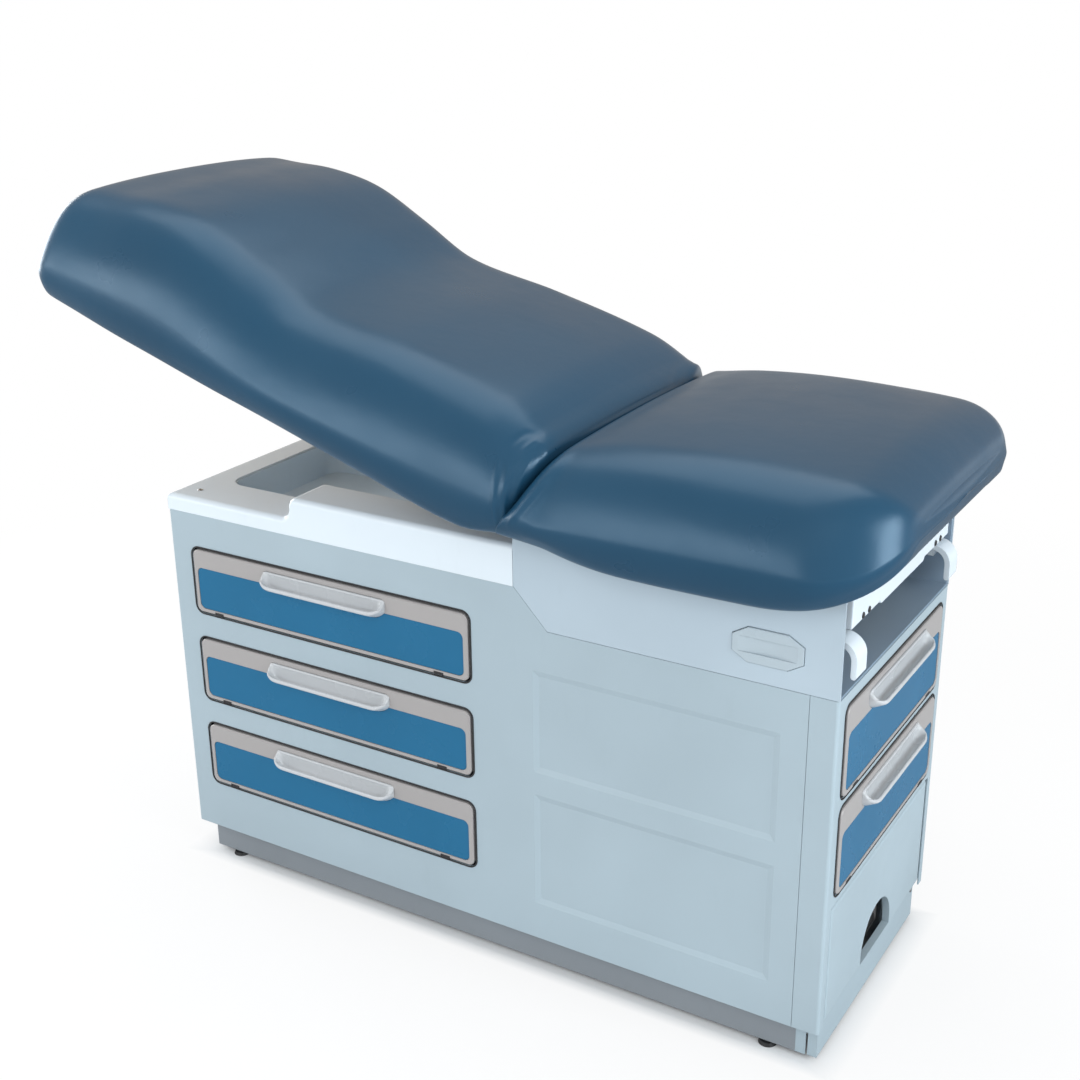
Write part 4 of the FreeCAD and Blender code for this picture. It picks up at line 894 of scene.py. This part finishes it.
    def press_crease(self, ring: np.ndarray, section: Section, gap: float) -> np.ndarray:
        """Roll a ring in towards the crease.

        Args:
            ring: Points (y, height) of the ring.
            section: Its section.
            gap: Distance from the crease.

        Returns:
            The ring with its top and shoulders pressed in.
        """
        share = round_off(abs(gap), self.crease_reach[0 if gap < 0.0 else 1])
        if share <= 0.0:
            return ring
        along = np.roll(ring, -1, axis=0) - np.roll(ring, 1, axis=0)
        along /= np.linalg.norm(along, axis=1, keepdims=True)
        inward = np.column_stack((-along[:, 1], along[:, 0]))
        level = (ring[:, 1] - section.bottom) / (section.shoulder - section.bottom)
        hold = ease((level - self.crease_hold[0]) / self.crease_hold[1])
        return ring + inward * (self.crease_depth * share * hold)[:, None]

    def end_rings(self, ring: np.ndarray, outward: Point, bulge: float) -> list[np.ndarray]:
        """Rings that close an end, shrinking to its middle."""
        middle = ring.mean(axis=0)
        return [middle + (ring - middle) * share + np.array(outward) * bulge * (1.0 - share ** 2)
                for share in self.end_shares]

    def fold(self, places: np.ndarray, line: Sequence[Point2], height: float, spread: float) -> np.ndarray:
        """Rise of one fold, fading to nothing at its two ends.

        Args:
            places: Rows of two coordinates.
            line: The fold's line in the same coordinates.
            height: Rise on the line, below 0 for a groove.
            spread: How far the fold reaches sideways.

        Returns:
            The rise at every place.
        """
        nearest, along = np.full(len(places), np.inf), np.zeros(len(places))
        for k, (start, end) in enumerate(zip(line[:-1], line[1:])):
            way = np.subtract(end, start)
            t = np.clip((places - start) @ way / (way @ way), 0.0, 1.0)
            gap = np.linalg.norm(places - start - t[:, None] * way, axis=1)
            along = np.where(gap < nearest, (k + t) / (len(line) - 1), along)
            nearest = np.minimum(gap, nearest)
        return height * np.exp(-(nearest / spread) ** 2) * np.sin(np.pi * along).clip(0.0) ** self.fold_fade

    def gather(self, mesh: Mesh) -> None:
        """Draw the small folds of the cover beside the crease."""
        points = rows(mesh)
        x, y, z = off_frame(points).T
        move = np.zeros(len(points))
        sets = ((self.side_folds, (x, z), np.abs(y), self.flank), (self.top_folds, (x, y), z, self.upper))
        for folds, places, level, (start, end) in sets:
            share = np.clip((level - start) / (end - start), 0.0, 1.0)
            for line, height, spread in folds:
                move += self.fold(np.column_stack(places), line, height, spread) * share
        store(mesh, points + rows(mesh, "normal") * (move / MM)[:, None])

    def build(self) -> Piece:
        """Model, swell and finish the cover."""
        lines = [self.profile(field) for field in ("bottom", "shoulder", "edge", "crown", "inner")]
        rings, marks = [], []
        for x, z, lean, gap in self.planes():
            section = self.cut(lines, x, z, lean, gap)
            y, height = self.press_crease(section.points(self.draw_in, self.swell), section, gap).T
            turn = math.radians(lean)
            rings.append(np.column_stack((x + height * math.sin(turn), y, z + height * math.cos(turn))))
            level = (height - section.bottom) / (section.crown - section.bottom)
            under = height < max(section.inner, section.bottom) + self.board_gap
            sewn = (abs(gap) < self.held_gap) & (level > self.held_level)
            marks.append(np.where(under | sewn, 1.0, 0.0))
        turn = math.radians(self.angle)
        front = self.end_rings(rings[0], LENGTHWISE, self.end_bulges[0])
        head = self.end_rings(rings[-1], (-math.cos(turn), 0.0, math.sin(turn)), self.end_bulges[1])
        free = [np.zeros(len(rings[0]))] * len(self.end_shares)
        piece = tube_piece("upholstery", front[::-1] + rings + head, Finish.VINYL)
        Stuffing(pressure=3.0, cap=4.0).run(piece, np.concatenate(free + marks + free))
        finer(piece)
        self.gather(piece.data)
        return piece

    def dress(self, piece: Piece) -> None:
        """Hide the imported cushions and keep the cover's placement in its mesh."""
        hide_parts("seat_cushion", "back_cushion")
        spot(737.0, 0.0, 807.2)
        spot(693.0, 0.0, 834.8)
        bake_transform(piece)


@dataclass
class LegRestPad:
    """Flat vinyl pad on the leg rest."""

    start: float = 747.0
    end: float = 1127.0
    half: float = 189.0
    low: float = 688.3
    high: float = 709.6
    side: float = 9.0
    roll: float = 11.0
    fall: float = 0.6
    tuck: float = 3.0
    top_round: Point2 = (9.0, 10.0)
    side_round: Point2 = (9.0, 12.0)
    end_gaps: Curve = (0.0, 0.6, 2.0, 4.5, 8.0, 13.0)
    end_run: float = 20.0
    held_height: float = 4.0
    draw_in: float = 0.6
    swell: float = 0.4
    ring_count: int = 30
    counts: tuple[int, int, int, int, int] = (10, 2, 2, 6, 14)

    def build(self) -> Piece:
        """Model and swell the pad."""
        rings, held = [], []
        for x in (*(self.start + gap for gap in self.end_gaps),
                  *np.linspace(self.start + self.end_run, self.end - self.end_run, self.ring_count),
                  *(self.end - gap for gap in reversed(self.end_gaps))):
            gap = min(x - self.start, self.end - x)
            top = self.high - corner(gap, self.top_round)
            section = Section(self.half - corner(gap, self.side_round), self.low, self.low + self.side,
                              top - self.fall, top, self.roll, self.low, self.tuck, self.counts)
            y, height = section.points(self.draw_in, self.swell).T
            rings.append(np.column_stack((np.full(len(y), x), y, height)))
            held.append(np.where(height < self.low + self.held_height, 1.0, 0.0))
        piece = tube_piece("leg_rest_vinyl", rings, Finish.VINYL)
        Stuffing(pressure=2.0, cap=1.2, frames=10).run(piece, np.concatenate(held))
        finer(piece)
        return piece

    def dress(self, piece: Piece) -> None:
        """Tie the pad to the leg rest."""
        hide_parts("leg_rest_pad")
        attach(piece, "leg_rest")


@dataclass
class ScoopHandle:
    """Moulded handle of one drawer: rim at the top, hollow for the fingers, rounded lip at the lower front.

    Its outlines are places (outwards from the drawer front, height below the top).
    """

    drawer: str
    facing: Facing
    reach: float = 21.0
    end_round: float = 25.0
    end_shares: Point2 = (0.72, 0.62)
    end_drop: Point2 = (4.5, 9.0)
    hollow_start: float = 3.5
    hollow_ease: float = 11.0
    filled_bulge: float = 0.6
    gaps: Curve = (0.0, 0.5, 1.5, 3.2, 5.5, 8.0, 10.5, 13.0, 16.0, 20.0, 25.0, 32.0, 46.0, 66.0, 90.0)
    rim: tuple[Point2, ...] = ((-3.0, -0.6), (0.0, 0.0), (1.7, -0.1), (2.8, -0.8), (3.2, -2.0), (2.8, -3.3))
    hollow: tuple[Point2, ...] = ((1.8, -5.2), (1.3, -9.5), (1.4, -15.5), (2.2, -21.0), (4.4, -24.8),
                                  (7.8, -25.2), (11.6, -23.4), (14.6, -21.0), (16.4, -18.3))
    lip: tuple[Point2, ...] = ((17.1, -16.7), (18.2, -16.2), (19.6, -16.8), (20.6, -18.2), (20.9, -20.0),
                               (20.3, -22.0), (18.4, -23.7), (13.8, -26.2), (8.0, -29.2), (2.0, -32.0),
                               (-1.0, -32.8), (-3.0, -32.4), (-3.4, -23.0), (-3.4, -11.0))

    def ring(self, gap: float) -> np.ndarray:
        """Section of the handle.

        Args:
            gap: Distance from the nearer end.

        Returns:
            Rows of (outwards from the drawer front, height below the top).
        """
        share = ease((gap - self.hollow_start) / self.hollow_ease)
        first, last = np.array(self.rim[-1]), np.array(self.lip[0])
        mouth = []
        for k, place in enumerate(self.hollow):
            t = (k + 1) / (len(self.hollow) + 1)
            filled = first + (last - first) * t + self.filled_bulge * math.sin(math.pi * t)
            mouth.append(filled + (np.array(place) - filled) * share)
        ring = np.vstack((self.rim, mouth, self.lip))
        depth, fall = (1.0 - corner(gap, (part, self.end_round)) for part in self.end_shares)
        ring[:, 0] = np.where(ring[:, 0] > 0.0, ring[:, 0] * depth, ring[:, 0])
        ring[:, 1] = ring[:, 1] * fall - corner(gap, self.end_drop)
        return ring

    def build(self) -> Piece:
        """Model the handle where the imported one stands."""
        low, high = (off_frame(point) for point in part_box(f"{self.drawer}_handle"))
        if self.facing is Facing.NEAR:
            along, sign, face = 0, -1.0, low[1] + self.reach
        else:
            along, sign, face = 1, 1.0, high[0] - self.reach
        middle, half = (low[along] + high[along]) / 2.0, (high[along] - low[along]) / 2.0
        rings = []
        for place in (*(gap - half for gap in self.gaps), 0.0, *(half - gap for gap in reversed(self.gaps))):
            ring = self.ring(half - abs(place))
            points = np.empty((len(ring), 3))
            points[:, along] = middle + place
            points[:, 1 - along] = face + sign * ring[:, 0]
            points[:, 2] = high[2] + ring[:, 1]
            rings.append(points)
        piece = tube_piece(f"{self.drawer}_pull", rings, Finish.HANDLE_WHITE)
        finer(piece)
        return piece

    def dress(self, piece: Piece) -> None:
        """Tie the handle to its drawer."""
        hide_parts(f"{self.drawer}_handle")
        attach(piece, self.drawer)


class FittingTree(Graph):
    """Geometry Nodes tree that puts one small fitting on every point of a mesh.

    The screw's numbers are shares of its radius or height; the corner of the dark cord, painted shade for the
    drawer gaps, is in metres.
    """

    head_sides: int = 18
    dome_top: float = 0.66
    drive_radius: float = 0.5
    drive_slot: float = 0.24
    drive_depth: float = 0.1
    drive_level: float = 0.97
    shade_cord_sides: int = 8
    shade_cord_corner: float = 0.0152

    def __init__(self, name: str, finish: Finish, recess_shade: Finish) -> None:
        """Start the tree with its named inputs.

        Args:
            name: Name of the tree.
            finish: Finish of the fitting.
            recess_shade: Near-black finish of its drive, painted shade for the hollow of the drive.
        """
        self.group = bpy.data.node_groups.new(name, "GeometryNodeTree")
        super().__init__(self.group)
        self.finish, self.recess_shade = finish, recess_shade
        self.inputs: dict[str, str] = {}
        face = self.group.interface
        for way in ("OUTPUT", "INPUT"):
            face.new_socket("Geometry", in_out=way, socket_type="NodeSocketGeometry")
        for label, kind in (("Size", "Vector"), ("Spin", "Float"), ("Seed", "Int")):
            made = face.new_socket(label, in_out="INPUT", socket_type=f"NodeSocket{kind}")
            self.inputs[label] = made.identifier
        self.source = self.nodes.new("NodeGroupInput")
        self.target = self.nodes.new("NodeGroupOutput")

    def given(self, label: str) -> Socket:
        """One of the tree's inputs."""
        return self.source.outputs[label]

    def sizes(self) -> bpy.types.bpy_prop_collection:
        """The three parts of the fitting's size."""
        return self.add("ShaderNodeSeparateXYZ", {"Vector": self.given("Size")}).node.outputs

    def times(self, source: Socket, share: float) -> Socket:
        """A size multiplied by a share."""
        return self.math("MULTIPLY", source, share)

    def moved(self, shape: Socket, height: Socket) -> Socket:
        """A shape lifted by a height."""
        lift = self.add("ShaderNodeCombineXYZ", {"Z": height})
        return self.add("GeometryNodeTransform", {"Geometry": shape, "Translation": lift})

    def joined(self, *shapes: Socket) -> Socket:
        """Several shapes as one."""
        made = self.nodes.new("GeometryNodeJoinGeometry")
        for shape in shapes:
            self.links.new(shape, made.inputs[0])
        return made.outputs[0]

    def marked(self, shape: Socket, recess_shade: bool) -> Socket:
        """A shape whose faces are marked as painted drive shade or not."""
        inputs = {"Geometry": shape, "Name": "recess_shade", "Value": recess_shade}
        return self.add("GeometryNodeStoreNamedAttribute", inputs, data_type="BOOLEAN", domain="FACE")

    def screw(self, kind: Kind) -> Socket:
        """Domed screw head with its drive, a dark cross or hexagon on top that is painted shade for the
        drive's hollow.
        """
        sizes = self.sizes()
        radius, height = sizes["X"], sizes["Z"]
        half, thin = self.times(height, 0.5), self.times(height, self.drive_depth)
        rim = self.add("GeometryNodeMeshCylinder", {
            "Vertices": self.head_sides, "Radius": radius, "Depth": half})
        dome = self.add("GeometryNodeMeshCone", {
            "Vertices": self.head_sides, "Radius Top": self.times(radius, self.dome_top),
            "Radius Bottom": radius, "Depth": half})
        head = self.joined(self.moved(rim, self.times(height, 0.25)), self.moved(dome, half))
        if kind is Kind.HEXAGON:
            mark = self.add("GeometryNodeMeshCylinder", {
                "Vertices": 6, "Radius": self.times(radius, self.drive_radius), "Depth": thin})
        else:
            long, short = radius, self.times(radius, self.drive_slot)
            bars = [self.add("ShaderNodeCombineXYZ", {"X": a, "Y": b, "Z": thin})
                    for a, b in ((long, short), (short, long))]
            mark = self.joined(*(self.add("GeometryNodeMeshCube", {"Size": size}) for size in bars))
        mark = self.moved(mark, self.times(height, self.drive_level))
        return self.joined(self.marked(head, False), self.marked(mark, True))

    def bar(self) -> Socket:
        """Plain bar."""
        return self.marked(self.add("GeometryNodeMeshCube", {"Size": self.given("Size")}), False)

    def shade_cord(self) -> Socket:
        """Round dark cord laid in a rounded rectangle: painted shade for the gap round a drawer."""
        sizes = self.sizes()
        outline = self.add("GeometryNodeCurvePrimitiveQuadrilateral",
                           {"Width": sizes["X"], "Height": sizes["Y"]})
        eased = self.add("GeometryNodeFilletCurve", {"Curve": outline, "Count": self.shade_cord_sides,
                                                     "Radius": self.shade_cord_corner}, mode="POLY")
        profile = self.add("GeometryNodeCurvePrimitiveCircle",
                           {"Resolution": self.shade_cord_sides, "Radius": sizes["Z"]}, "Curve")
        swept = self.add("GeometryNodeCurveToMesh", {"Curve": eased, "Profile Curve": profile})
        return self.marked(swept, False)

    def attribute(self, name: str, kind: str = "FLOAT_VECTOR") -> Socket:
        """Value stored on the points."""
        return self.add("GeometryNodeInputNamedAttribute", {"Name": name}, data_type=kind)

    def finish_with(self, shape: Socket) -> None:
        """Stand the shape on the points, realize it and set its finishes, with the drive near-black as
        painted shade.
        """
        align = "FunctionNodeAlignRotationToVector"
        upright = self.add(align, {"Vector": self.attribute("facing")}, axis="Z")
        aimed = self.add(align, {"Rotation": upright, "Vector": self.attribute("along")},
                         axis="X", pivot_axis="Z")
        spin = self.given("Spin")
        chance = self.add("FunctionNodeRandomValue", {
            "Min": self.times(spin, -1.0), "Max": spin, "Seed": self.given("Seed")}, data_type="FLOAT")
        turn = self.add("FunctionNodeAxisAngleToRotation", {"Axis": (0.0, 0.0, 1.0), "Angle": chance})
        spun = self.add("FunctionNodeRotateRotation", {"Rotation": aimed, "Rotate By": turn},
                        rotation_space="LOCAL")
        placed = self.add("GeometryNodeInstanceOnPoints", {
            "Points": self.given("Geometry"), "Instance": shape, "Rotation": spun})
        solid = self.add("GeometryNodeRealizeInstances", {"Geometry": placed})
        painted = self.add("GeometryNodeSetMaterial", {"Geometry": solid, "Material": self.finish.material})
        # Drive faces get the near-black finish: painted shade for the hollow of the drive.
        drive = self.add("GeometryNodeSetMaterial", {
            "Geometry": painted, "Material": self.recess_shade.material,
            "Selection": self.attribute("recess_shade", "BOOLEAN")})
        self.links.new(drive, self.target.inputs[0])


@dataclass
class Fittings:
    """Equal small fittings of one body, set out by a node tree."""

    name: str
    body: str
    slot: str
    finish: Finish
    places: Sequence[Point]
    facing: Point
    along: Point
    size: Point
    kind: Kind = Kind.BAR
    spin: float = 0.0
    seed: int = 7

    def build(self) -> Piece:
        """Set out the fittings and keep them as one mesh."""
        # The near-black finish on each drive is painted shade for its hollow.
        tree = FittingTree(f"{self.name}_tree", self.finish, Finish.BLACK_STEEL)
        plain = {Kind.BAR: tree.bar, Kind.SHADE_CORD: tree.shade_cord}
        tree.finish_with(plain[self.kind]() if self.kind in plain else tree.screw(self.kind))
        mesh = bpy.data.meshes.new(self.name)
        mesh.from_pydata(on_frame(self.places).tolist(), [], [])
        for label, vector in (("facing", self.facing), ("along", self.along)):
            data = mesh.attributes.new(label, "FLOAT_VECTOR", "POINT").data
            data.foreach_set("vector", np.tile(np.array(vector), len(self.places)))
        piece = linked(self.name, mesh)
        modifier = piece.modifiers.new("fittings", "NODES")
        modifier.node_group = tree.group
        modifier[tree.inputs["Size"]] = tuple(v / MM for v in self.size)
        modifier[tree.inputs["Spin"]] = self.spin
        modifier[tree.inputs["Seed"]] = self.seed
        plain_mesh(piece)
        LOG.info("%s: %d fittings", self.name, len(self.places))
        return piece

    def dress(self, piece: Piece) -> None:
        """Tie the fittings to their body."""
        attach(piece, self.body)


@dataclass
class Hardware:
    """Where the small fittings sit."""

    back: Upholstery
    steel: tuple[str, Finish] = ("zinc_steel", Finish.SCREW_STEEL)
    black: tuple[str, Finish] = ("black_steel", Finish.BLACK_STEEL)
    rubber: tuple[str, Finish] = ("black_rubber", Finish.BLACK_RUBBER)
    rim_top: float = 664.9
    head_face: float = 0.1
    step_face: float = 1135.1
    beam_face: float = 1142.9
    drawer_faces: Point2 = (-227.1, 1146.1)
    gap_shade_faces: Point2 = (-224.2, 1143.2)
    gap_shade_rise: Point2 = (57.0, 69.5)
    gap_shade_middle: float = 311.0
    buffer_rise: float = 5.0
    board_faces: Point2 = (-48.1, -48.2)
    leg_rest_face: float = 680.1
    mat_top: float = 244.5
    buffer: Point = (17.0, 4.8, 1.2)
    staple: Point = (10.5, 0.9, 0.8)
    staple_spin: float = 0.16

    def __post_init__(self) -> None:
        """Find the back's directions, for fittings under it."""
        turn = math.radians(self.back.angle)
        self.back_down: Point = (-math.sin(turn), 0.0, -math.cos(turn))
        self.back_along: Point = (-math.cos(turn), 0.0, math.sin(turn))

    def under_back(self, s: float, y: float, height: float) -> Point:
        """A place under the back board."""
        x, z = self.back.back_point(s, height)
        return (x, y, z)

    def screws(self) -> list[Fittings]:
        """Screws of the covers, boards and step, and bolts of the leg rest."""
        cover = [(38.0, y, self.rim_top) for y in (-188.0, 188.0)]
        panel = [(self.head_face, y, z) for z in (84.0, 350.0, 617.0) for y in (-186.0, 186.0)]
        board = [self.under_back(s, y, self.board_faces[0]) for s in (160.0, 330.0, 500.0, 700.0, 825.0)
                 for y in (-140.0, 140.0)]
        step = [(self.step_face, y, 58.0) for y in (-192.0, 192.0)]
        beam = [(self.beam_face, y, 676.0) for y in (-158.0, -136.0, 136.0, 158.0)]
        sets = (("cover_screws", "cabinet", cover, Facing.UP.value, (4.4, 4.4, 1.6)),
                ("panel_screws", "cabinet", panel, Facing.HEAD.value, (4.2, 4.2, 1.8)),
                ("board_screws", "back", board, self.back_down, (4.2, 4.2, 1.8)),
                ("step_screws", "step", step, Facing.FOOT.value, (3.6, 3.6, 1.5)))
        made = [Fittings(name, body, *self.steel, places, facing, ACROSS, size, Kind.CROSS, math.pi)
                for name, body, places, facing, size in sets]
        return made + [Fittings("beam_bolts", "leg_rest", *self.black, beam, Facing.FOOT.value, ACROSS,
                                (4.6, 4.6, 1.6), Kind.HEXAGON)]

    def buffers(self) -> list[Fittings]:
        """Rubber buffers in the lower edge of each drawer front."""
        made = []
        for drawer, low in DRAWERS.items():
            z = low + self.buffer_rise
            if drawer.startswith("foot"):
                places = [(self.drawer_faces[1], y, z) for y in (-152.0, 152.0)]
                facing, along = Facing.FOOT, ACROSS
            else:
                places = [(x, self.drawer_faces[0], z) for x in (93.0, 523.0)]
                facing, along = Facing.NEAR, LENGTHWISE
            made.append(Fittings(f"{drawer}_buffers", drawer, *self.rubber, places, facing.value, along,
                                 self.buffer))
        return made

    def gap_shade_cords(self) -> list[Fittings]:
        """Near-black cords round the drawer openings: painted shade standing for the dark gaps round the
        drawers.
        """
        side = [(self.gap_shade_middle, self.gap_shade_faces[0], low + self.gap_shade_rise[0])
                for name, low in DRAWERS.items() if name.startswith("side")]
        foot = [(self.gap_shade_faces[1], 0.0, low + self.gap_shade_rise[1])
                for name, low in DRAWERS.items() if name.startswith("foot")]
        # The black rubber finish on these cords is painted shade for the drawer gaps.
        return [Fittings("side_gap_shade_cords", "cabinet", *self.rubber, side, Facing.NEAR.value, LENGTHWISE,
                         (538.4, 116.4, 1.3), Kind.SHADE_CORD),
                Fittings("foot_gap_shade_cords", "cabinet", *self.rubber, foot, Facing.FOOT.value, ACROSS,
                         (400.4, 141.4, 1.3), Kind.SHADE_CORD)]

    def staples(self) -> list[Fittings]:
        """Staples along the edges of the boards."""
        back = [self.under_back(s, y, self.board_faces[1]) for s in np.arange(118.0, 840.0, 30.0)
                for y in (-196.0, 196.0)]
        leg = [(x, y, self.leg_rest_face) for x in np.arange(760.0, 1110.0, 24.0) for y in (-184.0, 184.0)]
        return [Fittings("back_staples", "back", *self.steel, back, self.back_down, self.back_along,
                         self.staple, spin=self.staple_spin),
                Fittings("leg_rest_staples", "leg_rest", *self.steel, leg, Facing.DOWN.value, LENGTHWISE,
                         self.staple, spin=self.staple_spin)]

    def mat_ribs(self) -> list[Fittings]:
        """Ribs of the step's mat."""
        ribs = [(x, 0.0, self.mat_top) for x in np.arange(822.0, 1104.0, 9.0)]
        return [Fittings("mat_ribs", "step", *self.rubber, ribs, Facing.UP.value, ACROSS, (300.0, 3.6, 1.4))]

    def all(self) -> list[Fittings]:
        """Every set of fittings."""
        return self.screws() + self.buffers() + self.gap_shade_cords() + self.staples() + self.mat_ribs()


@dataclass
class Studio:
    """Floor, soft light and the camera of the photograph.

    Each lamp has a name, a place, a target, a size, a power and a colour. The footprint is the cabinet's
    half length and half width, and its middle along the length.
    """

    lens: float = 51.787
    sensor: float = 36.0
    sight: float = 200.0
    camera_place: Point = (1.20801, -1.92530, 1.48526)
    camera_turn: tuple[Point, Point, Point] = (
        (0.855972, -0.177801, 0.485487), (0.516919, 0.313025, -0.796750), (-0.010306, 0.932953, 0.359849))
    lamps: tuple[tuple[str, Point, Point, Point2, float, Colour], ...] = (
        ("window_lamp", (-1.75, -3.0, 1.2), (0.0, 0.0, 0.75), (3.4, 0.7), 35.0, (0.93, 0.975, 1.0)),
        ("ceiling_lamp", (-0.4, 0.3, 3.6), (0.0, 0.0, 0.8), (3.4, 2.2), 46.0, (1.0, 0.99, 0.98)),
        ("foot_lamp", (3.6, -0.6, 1.5), (0.5, 0.0, 0.4), (2.0, 1.6), 86.0, (0.90, 0.965, 1.0)),
        ("head_lamp", (-3.2, 0.2, 1.25), (-0.2, 0.0, 0.7), (2.2, 1.4), 60.0, (0.97, 0.99, 1.0)),
        ("fill_lamp", (0.9, -2.8, 2.5), (-0.3, 0.0, 0.65), (1.6, 1.2), 24.0, WHITE))
    unmirrored: str = "fill_lamp"
    room_level: float = 0.62
    room_tint: Colour = (0.58, 0.50, 0.43)
    floor_size: float = 120.0
    floor_colour: Colour = (0.76, 0.77, 0.78)
    floor_tones: tuple[Colour, Colour] = ((0.755, 0.765, 0.775), (0.77, 0.775, 0.78))
    floor_roughness: float = 0.9
    floor_scale: float = 6.0
    footprint: Point = (0.57, 0.222, 0.0427)
    footprint_edge: Point2 = (0.96, 1.06)
    white_band: Point2 = (0.55, 2.2)
    white_share: float = 0.8
    # The floor's white seen in mirrors is dimmed near the table: painted shade round the table, seen in
    # reflections.
    mirrored_shade_band: Point2 = (3.4, 5.4)
    mirrored_shade_depth: float = -0.75

    def camera(self) -> None:
        """Place the camera."""
        data = bpy.data.cameras.new("camera")
        data.lens, data.sensor_width, data.clip_end = self.lens, self.sensor, self.sight
        camera = linked("camera", data)
        turn = Matrix(self.camera_turn).to_4x4()
        turn.translation = Vector(self.camera_place)
        camera.matrix_world = turn
        bpy.context.scene.camera = camera

    def world(self) -> None:
        """White surroundings, softer as a light than as a background, and tinted in mirrors."""
        world = bpy.data.worlds.new("surroundings")
        world.use_nodes = True
        bpy.context.scene.world = world
        graph = Graph(world.node_tree)
        rays = graph.add("ShaderNodeLightPath", {}).node.outputs
        seen = rays["Is Camera Ray"]
        for name in ("Is Glossy Ray", "Is Transmission Ray"):
            seen = graph.math("MAXIMUM", seen, rays[name])
        back = graph.nodes["Background"]
        graph.put(back, "Strength", graph.spread(seen, (0.0, 1.0), self.room_level))
        graph.put(back, "Color", graph.mix(rays["Is Glossy Ray"], WHITE, self.room_tint))

    def light(self) -> None:
        """Hang the soft lamps."""
        for name, place, target, size, power, colour in self.lamps:
            data = bpy.data.lights.new(name, "AREA")
            data.shape = "RECTANGLE"
            data.size, data.size_y = size
            data.energy, data.color = power, colour
            lamp = linked(name, data)
            lamp.location = place
            lamp.visible_glossy = name != self.unmirrored
            lamp.rotation_euler = (Vector(target) - Vector(place)).to_track_quat("-Z", "Y").to_euler()

    def floor(self) -> Piece:
        """Pale floor under the table."""
        reach = self.floor_size / 2.0
        mesh = bpy.data.meshes.new("floor")
        corners = [(x * reach, y * reach, 0.0) for x, y in ((-1, -1), (1, -1), (1, 1), (-1, 1))]
        mesh.from_pydata(corners, [], [(0, 1, 2, 3)])
        shader = Shader("pale_floor", self.floor_colour, self.floor_roughness)
        speck = shader.spread(shader.noise(self.floor_scale), NOISE_BAND)
        shader.give("Base Color", shader.mix(speck, *self.floor_tones))
        shader.give("Specular IOR Level", 0.0)
        self.whiten(shader)
        mesh.materials.append(shader.material)
        return linked("floor", mesh)

    def whiten(self, shader: Shader) -> None:
        """Fade the seen floor to white away from the table, and leave it plain under the cabinet; in mirrors
        its white is dimmed within a few metres of the table, as painted shade round the table in reflections.
        """
        length, width, middle = self.footprint
        rays = shader.add("ShaderNodeLightPath", {}).node.outputs
        glossy = rays["Is Glossy Ray"]
        away = shader.vector("LENGTH", shader.coordinates, out="Value")
        place = shader.vector("MULTIPLY_ADD", shader.coordinates, (1.0 / length, 1.0 / width, 0.0),
                              (-middle / length, 0.0, 0.0))
        sides = shader.add("ShaderNodeSeparateXYZ", {0: shader.vector("ABSOLUTE", place)}).node.outputs
        outside = shader.spread(shader.math("MAXIMUM", sides["X"], sides["Y"]), self.footprint_edge)
        seen = shader.math("MULTIPLY", rays["Is Camera Ray"], outside)
        share = shader.math("MULTIPLY_ADD", seen, shader.spread(away, self.white_band, self.white_share),
                            shader.math("MULTIPLY", glossy, self.white_share))
        # Painted shade: the floor glows dimmer in mirrors within a few metres of the table.
        mirrored_shade = shader.spread(away, self.mirrored_shade_band, self.mirrored_shade_depth, 0.0)
        level = shader.math("MULTIPLY_ADD", glossy, mirrored_shade, 1.0)
        white = shader.add("ShaderNodeEmission", {"Strength": level})
        both = shader.add("ShaderNodeMixShader", {0: share, 1: shader.surface.outputs[0], 2: white})
        shader.put(shader.nodes["Material Output"], "Surface", both)

    def build(self) -> None:
        """Set up the whole studio."""
        self.camera()
        self.world()
        self.light()
        self.floor()
        bpy.context.scene.view_settings.view_transform = "Standard"


class Cabinet:
    """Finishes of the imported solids."""

    def __init__(self, nodes: dict[str, Piece]) -> None:
        """Keep the solids by name."""
        self.nodes = nodes

    def paint(self, name: str, finish: Finish) -> None:
        """Put a finish on one solid."""
        mesh = self.nodes[name].data
        if not mesh.materials:
            mesh.materials.append(finish.material)
        for index in range(len(mesh.materials)):
            mesh.materials[index] = finish.material
        for slot in self.nodes[name].material_slots:
            slot.material = finish.material

    def dress(self) -> None:
        """Finish every solid."""
        for finish, names in NODE_FINISHES.items():
            for name in names:
                self.paint(name, finish)
        for drawer in DRAWERS:
            for part, finish in DRAWER_FINISHES.items():
                self.paint(f"{drawer}_{part}", finish)


def main() -> None:
    """Load the table, dress it and set up the studio."""
    logging.basicConfig(level=logging.INFO, format="%(name)s: %(message)s")
    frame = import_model()
    Studio().build()
    Cabinet(frame["nodes"]).dress()
    LOG.info("finishes on %d solids", len(frame["nodes"]))
    upholstery = Upholstery()
    handles = [ScoopHandle(name, Facing.FOOT if name.startswith("foot") else Facing.NEAR) for name in DRAWERS]
    for maker in (upholstery, LegRestPad(), *handles, *Hardware(upholstery).all()):
        piece = maker.build()
        maker.dress(piece)
        LOG.info("%s: %d faces", piece.name, len(piece.data.polygons))


if __name__ == "__main__":
    main()
